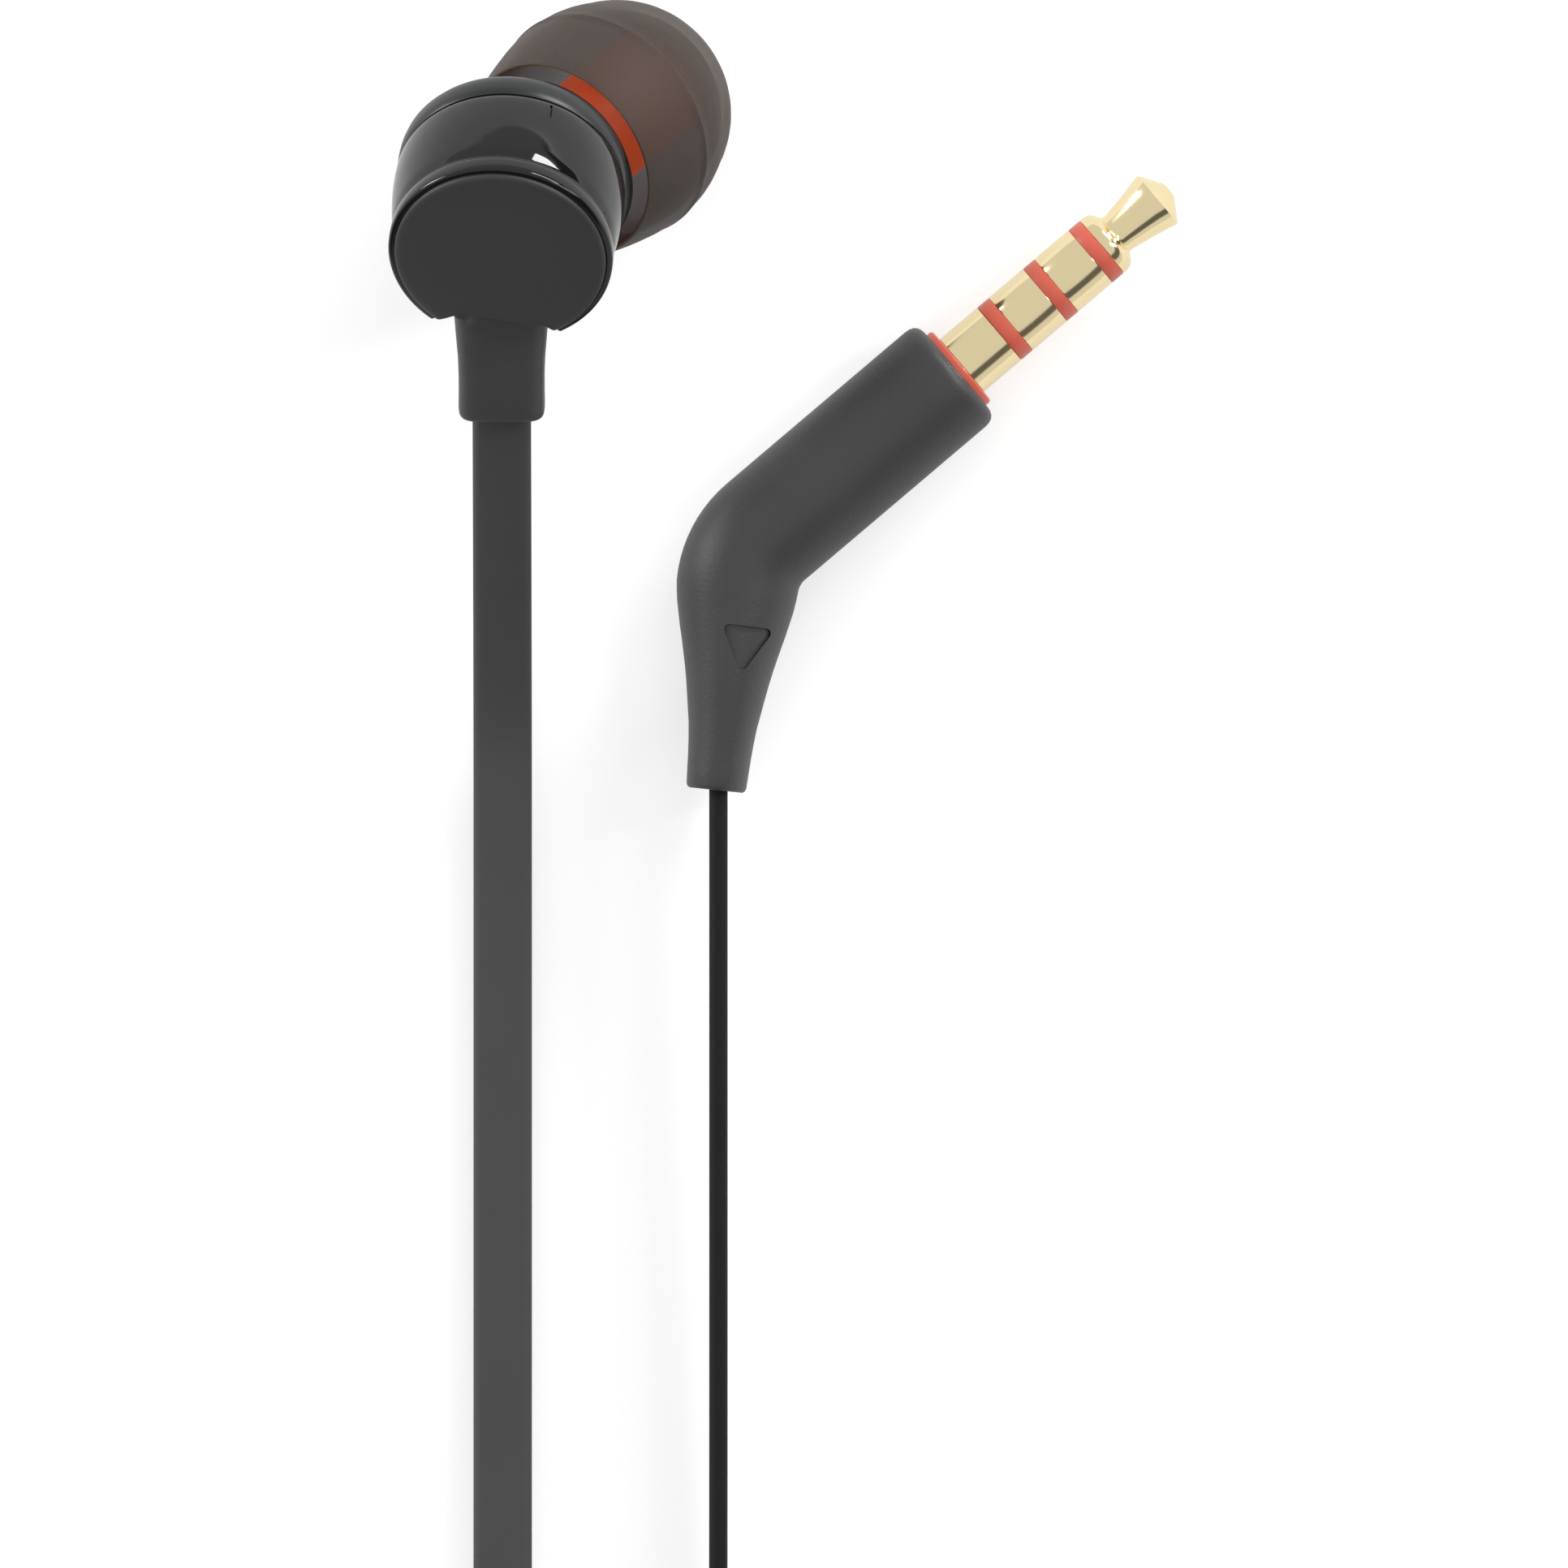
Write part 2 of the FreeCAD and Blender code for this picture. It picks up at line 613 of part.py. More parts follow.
# Two arcs that leave the first point and reach the second along the given directions
def biarc(p0, t0, p1, t1):
    across = p1 - p0
    total = t0 + t1
    a = 2 * (1 - t0.dot(t1))
    b = 2 * across.dot(total)
    c = -across.dot(across)
    d = -c / b if abs(a) < 1e-12 else (-b + math.sqrt(b * b - 4 * a * c)) / (2 * a)
    joint = (p0 + p1 + (t0 - t1) * d) * 0.5
    tangent = (p1 - t1 * d - (p0 + t0 * d)).normalize()
    arcs = []
    for start, out, end in ((p0, t0, joint), (joint, tangent, p1)):
        chord = end - start
        side = chord - out * chord.dot(out)
        if side.Length < 1e-9:
            arcs.append(Part.LineSegment(start, end).toShape())
            continue
        side.normalize()
        radius = chord.dot(chord) / (2 * chord.dot(side))
        centre = start + side * radius
        middle = centre + ((start + end) * 0.5 - centre).normalize() * radius
        arcs.append(Part.Arc(start, middle, end).toShape())
    return arcs


# A coil of two layers: in on the lower layer, up in the half turn at the middle, and out again
def coil(name, centre, outer, start_angle, turns, low):
    pitch = dim("turn_pitch") / (2 * math.pi)
    begin = math.radians(start_angle)
    whole = turns * 2 * math.pi
    middle = whole / 2
    ease = math.pi / 2

    def spot(swept):
        off = swept - middle
        if abs(off) >= ease:
            radius = outer - pitch * (middle - abs(off))
            slope = pitch * (1 if off > 0 else -1)
        else:
            radius = outer - pitch * (middle - ease) - pitch * (ease * ease - off * off) / (2 * ease)
            slope = pitch * off / ease
        if abs(off) < math.pi:
            radius -= dim("climb_dip") * math.cos(off / 2) ** 2
            slope += dim("climb_dip") * math.sin(off) / 2
        share = min(max((off + ease) / (2 * ease), 0.0), 1.0)
        height = low + dim("layer_pitch") * (1 - math.cos(math.pi * share)) / 2
        climb = dim("layer_pitch") * math.sin(math.pi * share) / 2
        angle = begin + swept
        out = Vector(math.cos(angle), math.sin(angle), 0)
        on = Vector(-math.sin(angle), math.cos(angle), 0)
        point = Vector(centre.x, centre.y, height) + out * radius
        return point, (out * slope + on * radius + Vector(0, 0, climb)).normalize()

    # Knots every quarter turn or less, with one at each end of the climb
    knots = [0.0]
    for goal in (middle - ease, middle, middle + ease, whole):
        count = max(1, math.ceil((goal - knots[-1]) / (math.pi / 2) - 1e-6))
        base = knots[-1]
        for k in range(1, count + 1):
            knots.append(base + (goal - base) * k / count)
    edges = []
    first, away = spot(0.0)
    edges.append(Part.LineSegment(first - away * lead_run, first).toShape())
    for k in range(len(knots) - 1):
        p0, t0 = spot(knots[k])
        p1, t1 = spot(knots[k + 1])
        edges.extend(biarc(p0, t0, p1, t1))
    last, onward = spot(whole)
    edges.append(Part.LineSegment(last, last + onward * lead_run).toShape())
    route = Part.Wire(edges)
    shell = Part.BRepOffsetAPI.MakePipeShell(route)
    shell.setBiNormalMode(Vector(0, 0, 1))
    shell.add(cord_section(first - away * lead_run, away, 90))
    shell.build()
    shell.makeSolid()
    solid = shell.shape()
    area = Part.Face(cord_section(first, away, 90)).Area
    print("%s: %.2f turns, length %.1f mm, volume %.1f of %.1f mm3"
          % (name, turns, route.Length, solid.Volume, area * route.Length))
    print("%s: least gap to itself %.2f mm" % (name, coil_gap(spot, whole)))
    lengths[name] = route.Length
    keep(solid_feature(name, solid))
    return first - away * lead_run, away, last + onward * lead_run, onward


# Least gap between turns, on points of the centreline a part of a turn apart
def coil_gap(spot, whole):
    count = int(whole / (2 * math.pi) * 48)
    points = [spot(whole * k / count)[0] for k in range(count + 1)]
    least = 99.0
    for i in range(len(points)):
        for j in range(i + 30, len(points)):
            apart = points[j] - points[i]
            upright = abs(apart.z) - dim("cord_width")
            level = math.hypot(apart.x, apart.y) - dim("cord_thick")
            least = min(least, max(upright, level))
    return least


# Earbuds
left_stand = Placement(relief_end, Rotation())
left_drum, left_tip = earbud("left", 1, left_stand)
entry = math.radians(right_entry_angle)
right_heading = Vector(-math.sin(entry), math.cos(entry), 0)
coil_entry = leg_coil_centre + Vector(math.cos(entry), math.sin(entry), 0) * right_coil_radius
right_end = coil_entry - right_heading * (right_lead_run + lead_run)
right_end.z = relief_end.z
right_turn = math.degrees(math.atan2(right_heading.x, -right_heading.y))
right_stand = Placement(right_end, Rotation(Vector(0, 0, 1), right_turn))
right_drum, right_tip = earbud("right", -1, right_stand)

# Coils of the put-away cord. The right leg's coil lies on the left leg's.
low_layer = dim("coil_base") + dim("cord_width") / 2
high_layer = low_layer + 2 * dim("layer_pitch")
main_in, main_in_way, main_out, main_out_way = coil(
    "main_coil", main_coil_centre, main_coil_radius, 180, 6.25, low_layer)
left_in, left_in_way, left_out, left_out_way = coil(
    "left_cord_coil", leg_coil_centre, left_coil_radius, 180, 2.25, low_layer)
right_turns = 3 + (270 - right_entry_angle) / 360
right_in, right_in_way, right_out, right_out_way = coil(
    "right_cord_coil", leg_coil_centre, right_coil_radius, right_entry_angle, right_turns, high_layer)


# Free stretches of the cord. Each list is the route of one stretch on the table.
down = Vector(0, -1, 0)
splitter_foot = splitter_top.y - dim("splitter_length")
remote_top = remote_middle_y + dim("remote_length") / 2
remote_foot = remote_middle_y - dim("remote_length") / 2
stretch("left_cord_upper", [
    relief_end,
    Vector(left_cord_x, 8.0, relief_end.z - (relief_end.y - 8.0) * math.tan(math.radians(relief_slope))),
    Vector(left_cord_x, -3.0, 0.6),
    Vector(left_cord_x, remote_top, remote_cord_height),
], 0, 0)
stretch("left_cord_lower", [
    Vector(left_cord_x, remote_foot, remote_cord_height),
    Vector(left_cord_x, -83.0, 1.75),
    left_in,
], 0, 90)
stretch("right_cord_upper", [
    right_end,
    right_end + right_heading * 4.2 + Vector(0, 0, -4.2 * math.tan(math.radians(relief_slope))),
    right_end + right_heading * 9.4 + Vector(0, 0, -2.0),
    right_in,
], 0, 90)
stretch("left_cord_tail", [
    left_out,
    Vector(23.1, left_out.y, 5.8),
    Vector(29.2, -116.3, 6.0),
    Vector(splitter_top.x, -109.9, 6.2),
    Vector(splitter_top.x, splitter_foot, 6.25),
], 90, 90)
stretch("right_cord_tail", [
    right_out,
    Vector(23.1, right_out.y, 10.8),
    Vector(29.2, -115.7, 10.1),
    Vector(splitter_top.x, -109.7, 9.8),
    Vector(splitter_top.x, splitter_foot, 9.75),
], 90, 90)
stretch("main_cord_tail", [
    main_out,
    Vector(23.1, main_out.y, 6.2),
    Vector(29.2, -82.3, 7.0),
    Vector(splitter_top.x, -88.4, 7.7),
    splitter_top,
], 90, 90)

# Splitter, standing on edge like the cords that it joins
splitter = padded("splitter", "Dims.splitter_thick", "Dims.splitter_tall", "Dims.splitter_length", 1.2)
splitter_turn = Rotation(Vector(1, 0, 0), Vector(0, 0, 1), Vector(0, -1, 0), "ZXY")
keep(splitter, Placement(splitter_top, splitter_turn))


# A tie: a flat band round all the turns of a bundle, across the ring at one angle
def tie(name, centre, inner, outer, top, angle):
    wall = dim("tie_thick")
    band = helper("Part::Box", name + "_band", Length=str(outer - inner + 2 * wall),
                  Width="Dims.tie_width", Height=str(top + 0.15 + wall))
    space = helper("Part::Box", name + "_space", Length=str(outer - inner),
                   Width="Dims.tie_width + 2", Height=str(top + 0.15 - wall))
    band.Placement = at(inner - wall, -dim("tie_width") / 2, 0)
    space.Placement = at(inner, -dim("tie_width") / 2 - 1, wall)
    spin = Placement(centre, Rotation(Vector(0, 0, 1), angle))
    keep(less(name, band, space), spin)


low_top = dim("coil_base") + dim("layer_pitch") + dim("cord_width")
tie("main_coil_tie", main_coil_centre, 12.3, main_coil_radius + 0.7, low_top, 40)
tie("leg_coil_tie", leg_coil_centre, 13.9, left_coil_radius + 0.7, low_top + 2 * dim("layer_pitch"), 205)

# Plug
plug_axis = Vector(math.cos(math.radians(plug_heading)), math.sin(math.radians(plug_heading)), 0)
plug_stand = Placement(plug_face, Rotation(Vector(0, 0, 1), plug_axis))
core = "Dims.plug_core_radius"
outside = "Dims.plug_radius"
keep(turned("plug_core", [
    ("Dims.plug_pin_radius", "0"),
    (core, "0"),
    (core, "Dims.sleeve_end + 3 * Dims.band_width + 2 * Dims.contact_length + 5.5"),
    ("Dims.plug_pin_radius", "Dims.sleeve_end + 3 * Dims.band_width + 2 * Dims.contact_length + 5.5"),
]), plug_stand.multiply(at(0, 0, -5.5)))
sleeve_root = "Dims.plug_radius - 0.25"
keep(turned("sleeve_contact", [
    (core, "0"),
    (sleeve_root, "0"),
    (sleeve_root, "Dims.collar_thick + 3"),
    (outside, "Dims.collar_thick + 3"),
    (outside, "Dims.sleeve_end + 3"),
    (core, "Dims.sleeve_end + 3"),
]), plug_stand.multiply(at(0, 0, -3)))
keep(turned("plug_collar", [
    (sleeve_root, "0"),
    ("Dims.collar_radius", "0"),
    ("Dims.collar_radius", "Dims.collar_thick - 0.1"),
    ("Dims.collar_radius - 0.1", "Dims.collar_thick"),
    (sleeve_root, "Dims.collar_thick"),
]), plug_stand)
for k, name in enumerate(("ring_contact_rear", "ring_contact_front")):
    contact = tube(name, outside, core, "Dims.contact_length")
    start = dim("sleeve_end") + (k + 1) * dim("band_width") + k * dim("contact_length")
    keep(contact, plug_stand.multiply(at(0, 0, start)))
bands = []
for k in range(3):
    start = "Dims.sleeve_end + %d * (Dims.band_width + Dims.contact_length)" % k
    bands.append(tube("insulator_band_%d" % (k + 1), outside, core, "Dims.band_width", start))
group = doc.addObject("Part::Compound", "insulator_bands")
group.Links = bands
keep(group, plug_stand)
shoulder = "Dims.sleeve_end + 3 * Dims.band_width + 2 * Dims.contact_length + 5.5"
keep(turned("tip_contact", [
    ("0", "0"),
    ("Dims.plug_pin_radius", "0"),
    ("Dims.plug_pin_radius", shoulder),
    (outside, shoulder),
    (outside, shoulder + " + 0.25"),
    ("1.45", shoulder + " + 0.7"),
    ("1.12", shoulder + " + 0.8"),
    ("1.12", shoulder + " + 1.1"),
    ("1.58", "Dims.tip_contact_end + 4.3"),
    ("1.5", "Dims.tip_contact_end + 4.55"),
    ("0.35", "Dims.tip_contact_end + 5.45"),
    ("0", "Dims.tip_contact_end + 5.5"),
]), plug_stand.multiply(at(0, 0, -5.5)))


# Angled boot. It runs straight back from the plug, round a bend, and straight on to the cord.
boot_straight = 12.79
boot_bend_radius = 4.2
boot_turn = math.radians(43.7)
bend_start = plug_face - plug_axis * boot_straight
bend_side = Vector(plug_axis.y, -plug_axis.x, 0) * -1
bend_centre = bend_start - bend_side * boot_bend_radius


def boot_spot(run):
    past = run - boot_straight
    turned_by = min(max(past / boot_bend_radius, 0.0), boot_turn)
    way = Rotation(Vector(0, 0, 1), math.degrees(turned_by)).multVec(plug_axis * -1)
    if past <= 0:
        return plug_face - plug_axis * run, way
    out = Rotation(Vector(0, 0, 1), math.degrees(turned_by)).multVec(bend_side)
    spot = bend_centre + out * boot_bend_radius
    return spot + way * (past - turned_by * boot_bend_radius), way


def boot_ring(run, half_width, half_depth):
    middle, way = boot_spot(run)
    side = way.cross(Vector(0, 0, 1))
    curve = Part.Ellipse(middle + Vector(0, 0, half_depth), middle + side * half_width, middle)
    return Part.Wire([curve.toShape()])


boot_full = dim("boot_radius")
boot_stations = [(run, boot_full - 0.01, boot_full) for run in (0.0, 2.4, 4.8, 7.2, 9.6, 11.4)]
boot_stations += [(boot_straight + 0.64 * k, boot_full - 0.01 - 0.01 * k, boot_full) for k in range(6)]
boot_stations += [
    (16.8, 3.04, 3.16),
    (17.7, 2.86, 3.13),
    (18.7, 2.63, 3.07),
    (19.8, 2.37, 3.0),
    (20.9, 2.14, 2.91),
    (22.2, 1.92, 2.79),
    (23.6, 1.72, 2.65),
    (25.0, 1.61, 2.53),
    (26.53, 1.53, 2.4),
]
boot_rings = [boot_ring(*station) for station in boot_stations]
boot = Part.makeLoft(boot_rings, True, False)
front_edge = [edge for edge in boot.Edges
              if edge.CenterOfMass.distanceToPoint(plug_face) < 0.2 and edge.Length > 10]
boot = boot.makeFillet(0.7, front_edge)
boot_bottom = boot_spot(boot_stations[-1][0])[0]
print("boot ends at %.2f %.2f %.2f" % tuple(boot_bottom))
sleeve_hole = Part.makeCylinder(dim("plug_radius") - 0.25, 3, plug_face, plug_axis * -1)
core_hole = Part.makeCylinder(dim("plug_core_radius"), 5.5, plug_face, plug_axis * -1)
mark = [Vector(-3.2, 8.2, 5.85), Vector(-0.6, 7.9, 5.85), Vector(-2.1, 5.65, 5.85)]
mark_edges = Part.makePolygon(mark + mark[:1])
mark_hole = Part.Face(mark_edges).extrude(Vector(0, 0, 3))
boot = boot.cut(sleeve_hole.fuse(core_hole)).cut(mark_hole)
keep(solid_feature("plug_boot", boot))

# The lead from the boot to the main coil, on edge and nearly straight
lead_x = -3.36
lead_top = Vector(lead_x, boot_bottom.y + 0.3, plug_face.z)
lead_rings = [
    cord_section(lead_top, down, 90),
    cord_section(Vector(lead_x, -12.0, 2.9), down, 90),
    cord_section(Vector(lead_x, -42.0, 2.2), down, 90),
    cord_section(main_in, main_in_way, 90),
]
keep(solid_feature("main_cord_upper", Part.makeLoft(lead_rings, True, True)))
lengths["main_cord_upper"] = (main_in - lead_top).Length

# Remote control: two shells, a board, and the button over its switch
remote_stand = at(left_cord_x, remote_middle_y, 0)
half = "Dims.remote_height / 2"
inner_width = "Dims.remote_width - 2 * Dims.remote_wall"
inner_length = "Dims.remote_length - 4 * Dims.remote_wall"
lower = padded("remote_lower_shell", "Dims.remote_width", "Dims.remote_length", half, 1.2)
pocketed(lower, "_hollow", inner_width, inner_length, half + " - Dims.remote_wall", half)
keep(lower, remote_stand)
upper = padded("remote_upper_shell", "Dims.remote_width", "Dims.remote_length", half, 1.2)
pocketed(upper, "_hollow", inner_width, inner_length, half + " - Dims.remote_wall", "0", upward=True)
pocketed(upper, "_window", "Dims.button_width + 0.2", "Dims.button_length + 0.2", half, half)
pocketed(upper, "_sound_hole", "0.8", "0.8", half, half, shift_y=9.0)
keep(upper, remote_stand.multiply(at(0, 0, dim("remote_height") / 2)))
cap = padded("remote_button_cap", "Dims.button_width", "Dims.button_length", "1.7", 0.8)
cap.Placement = at(0, 0, 0.4)
flange = padded("remote_button_flange", "Dims.button_width + 1", "Dims.button_length + 1", "0.4", 0.8)
keep(joined("remote_button", cap, flange), remote_stand.multiply(at(0, 0, 3.15)))
board = padded("remote_board", inner_width + " - 0.1", inner_length + " - 0.4", "0.5", 0)
keep(board, remote_stand.multiply(at(0, 0, dim("remote_wall"))))
switch = padded("switch_block", "3.2", "3.2", "1.45", 0)
hole = cylinder("switch_hole", "0.8", "2", "0.75")
keep(less("switch_body", switch, hole), remote_stand.multiply(at(0, 0, 1.3)))
plunger = cylinder("switch_plunger", "0.7", "0.65")
plunger.setExpression("Placement.Base.z", None)
keep(plunger, remote_stand.multiply(at(0, 0, 2.5)))
capsule = cylinder("microphone", "1.5", "1.2")
capsule.setExpression("Placement.Base.z", None)
keep(capsule, remote_stand.multiply(at(0, 9.0, 1.3)))

# The model's own frame stands on the table at the middle of the box round both earbuds
doc.recompute()
for item in nodes:
    item.Placement = at(-origin_x, -origin_y, 0).multiply(item.Placement)

os.makedirs("parts", exist_ok=True)
doc.recompute()
failed = [item.Name for item in doc.Objects if "Invalid" in item.State or "Error" in item.State]
if failed:
    raise RuntimeError("failed features: " + ", ".join(failed))
print("cord in all %.0f mm" % sum(lengths.values()))
for item in nodes:
    if item.Shape.isNull() or not item.Shape.isValid():
        raise RuntimeError(item.Label + " has no valid shape")
    item.Shape.exportStep("parts/%s.step" % item.Label)
    box = item.Shape.BoundBox
    print("%-22s %7.1f mm3  z %.2f to %.2f" % (item.Label, item.Shape.Volume, box.ZMin, box.ZMax))
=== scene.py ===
import bpy
import bmesh
from math import atan2, cos, pi, radians, sin
from mathutils import Matrix, Vector


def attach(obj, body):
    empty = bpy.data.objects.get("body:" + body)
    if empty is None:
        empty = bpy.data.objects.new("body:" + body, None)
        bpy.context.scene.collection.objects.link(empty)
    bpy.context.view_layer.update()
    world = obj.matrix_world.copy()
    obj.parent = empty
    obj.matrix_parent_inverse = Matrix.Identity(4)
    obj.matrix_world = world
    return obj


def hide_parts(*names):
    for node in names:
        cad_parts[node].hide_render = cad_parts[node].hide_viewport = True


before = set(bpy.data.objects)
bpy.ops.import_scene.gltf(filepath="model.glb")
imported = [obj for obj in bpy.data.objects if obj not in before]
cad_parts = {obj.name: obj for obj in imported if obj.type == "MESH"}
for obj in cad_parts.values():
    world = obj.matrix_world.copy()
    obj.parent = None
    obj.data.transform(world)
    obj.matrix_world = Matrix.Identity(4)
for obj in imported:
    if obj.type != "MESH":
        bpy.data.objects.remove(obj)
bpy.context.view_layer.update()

mm = 0.001
photoMiddle = Vector((-0.1132, 19.577, 0.0))  # the picture's middle on the table, in mm


def spot(x, y, z):  # a place given in mm about the picture's middle, as metres in the model
    return (Vector((x, y, z)) + photoMiddle) * mm


# Camera: straight down on the table, far away, as in a catalogue picture
view = {"distance": 2.5, "width": 80.17, "sensor": 36.0, "height": 8, "near": 0.05, "far": 20}
cameraData = bpy.data.cameras.new("camera")
cameraData.sensor_width = view["sensor"]
cameraData.lens = view["sensor"] * view["distance"] * 1000 / view["width"]
cameraData.clip_start = view["near"]
cameraData.clip_end = view["far"]
camera = bpy.data.objects.new("camera", cameraData)
camera.location = spot(0, 0, view["height"]) + Vector((0, 0, view["distance"]))
bpy.context.scene.collection.objects.link(camera)
bpy.context.scene.camera = camera
bpy.context.scene.view_settings.view_transform = "Standard"


# Shader helpers
def newMaterial(name, **values):
    material = bpy.data.materials.new(name)
    material.use_nodes = True
    shader = material.node_tree.nodes["Principled BSDF"]
    for socket, value in values.items():
        shader.inputs[socket.replace("_", " ")].default_value = value
    return material, material.node_tree, shader


def addNode(tree, kind, **settings):
    node = tree.nodes.new(kind)
    for key, value in settings.items():
        if key in node.inputs:
            node.inputs[key].default_value = value
        else:
            setattr(node, key, value)
    return node


def newGroup(name, inputs, outputs):
    tree = bpy.data.node_groups.new(name, "ShaderNodeTree")
    for label, kind, value in inputs:
        item = tree.interface.new_socket(name=label, in_out="INPUT", socket_type=kind)
        item.default_value = value
    for label, kind in outputs:
        tree.interface.new_socket(name=label, in_out="OUTPUT", socket_type=kind)
    return tree, tree.nodes.new("NodeGroupInput"), tree.nodes.new("NodeGroupOutput")


# Fine moulded grain: a height, and a mask that varies slowly over the piece
def makeGrainGroup():
    tree, source, result = newGroup("moulded grain", [
        ("Scale", "NodeSocketFloat", 4000.0),
        ("Patch Scale", "NodeSocketFloat", 300.0),
    ], [("Height", "NodeSocketFloat"), ("Patch", "NodeSocketFloat")])
    place = addNode(tree, "ShaderNodeTexCoord")
    fine = addNode(tree, "ShaderNodeTexNoise", Detail=3.0, Roughness=0.65)
    patch = addNode(tree, "ShaderNodeTexNoise", Detail=2.0, Roughness=0.5)
    for node, label in ((fine, "Scale"), (patch, "Patch Scale")):
        tree.links.new(place.outputs["Object"], node.inputs["Vector"])
        tree.links.new(source.outputs[label], node.inputs["Scale"])
    tree.links.new(fine.outputs["Fac"], result.inputs["Height"])
    tree.links.new(patch.outputs["Fac"], result.inputs["Patch"])
    return tree


# Handling wear: faint smudges that change the gloss, and sparse dust specks
def makeSmudgeGroup():
    tree, source, result = newGroup("handling smudges", [
        ("Scale", "NodeSocketFloat", 500.0),
        ("Low", "NodeSocketFloat", 0.05),
        ("High", "NodeSocketFloat", 0.12),
    ], [("Roughness", "NodeSocketFloat"), ("Dust", "NodeSocketFloat")])
    place = addNode(tree, "ShaderNodeTexCoord")
    cloud = addNode(tree, "ShaderNodeTexNoise", Detail=5.0, Roughness=0.6)
    spread = addNode(tree, "ShaderNodeMapRange")
    specks = addNode(tree, "ShaderNodeTexVoronoi", Scale=2600.0)
    small = addNode(tree, "ShaderNodeMapRange")
    small.inputs["From Min"].default_value = 0.0
    small.inputs["From Max"].default_value = 0.06
    small.inputs["To Min"].default_value = 1.0
    small.inputs["To Max"].default_value = 0.0
    tree.links.new(place.outputs["Object"], cloud.inputs["Vector"])
    tree.links.new(place.outputs["Object"], specks.inputs["Vector"])
    tree.links.new(source.outputs["Scale"], cloud.inputs["Scale"])
    tree.links.new(cloud.outputs["Fac"], spread.inputs["Value"])
    tree.links.new(source.outputs["Low"], spread.inputs["To Min"])
    tree.links.new(source.outputs["High"], spread.inputs["To Max"])
    tree.links.new(specks.outputs["Distance"], small.inputs["Value"])
    tree.links.new(spread.outputs["Result"], result.inputs["Roughness"])
    tree.links.new(small.outputs["Result"], result.inputs["Dust"])
    return tree


grainGroup = makeGrainGroup()
smudgeGroup = makeSmudgeGroup()


def useGroup(tree, group, **values):
    node = tree.nodes.new("ShaderNodeGroup")
    node.node_tree = group
    for label, value in values.items():
        node.inputs[label.replace("_", " ")].default_value = value
    return node


def mixedColour(tree, shader, mask, dark, light):
    mix = addNode(tree, "ShaderNodeMix", data_type="RGBA")
    mix.inputs["A"].default_value = (*dark, 1)
    mix.inputs["B"].default_value = (*light, 1)
    tree.links.new(mask, mix.inputs["Factor"])
    tree.links.new(mix.outputs["Result"], shader.inputs["Base Color"])


def bumped(tree, shader, height, distance, strength):
    bump = addNode(tree, "ShaderNodeBump", Strength=strength, Distance=distance)
    tree.links.new(height, bump.inputs["Height"])
    tree.links.new(bump.outputs["Normal"], shader.inputs["Normal"])


def spreadRoughness(tree, shader, mask, low, high):
    spread = addNode(tree, "ShaderNodeMapRange")
    spread.inputs["To Min"].default_value = low
    spread.inputs["To Max"].default_value = high
    tree.links.new(mask, spread.inputs["Value"])
    tree.links.new(spread.outputs["Result"], shader.inputs["Roughness"])


# A grained matte surface: moulded plastic or rubber
def makeGrained(name, dark, light, roughness, scale, depth, specular=0.5):
    material, tree, shader = newMaterial(name, Specular_IOR_Level=specular)
    grain = useGroup(tree, grainGroup, Scale=scale, Patch_Scale=260.0)
    mixedColour(tree, shader, grain.outputs["Patch"], dark, light)
    spreadRoughness(tree, shader, grain.outputs["Patch"], roughness - 0.06, roughness + 0.06)
    bumped(tree, shader, grain.outputs["Height"], depth * mm, 0.6)
    return material


# A polished surface with faint smudges and sparse dust
def makePolished(name, colour, low, high, metallic=0.0):
    material, tree, shader = newMaterial(name, Metallic=metallic)
    smudge = useGroup(tree, smudgeGroup, Scale=420.0, Low=low, High=high)
    tree.links.new(smudge.outputs["Roughness"], shader.inputs["Roughness"])
    dusty = tuple(min(c * 1.15 + 0.012, 1) for c in colour)
    mixedColour(tree, shader, smudge.outputs["Dust"], colour, dusty)
    return material


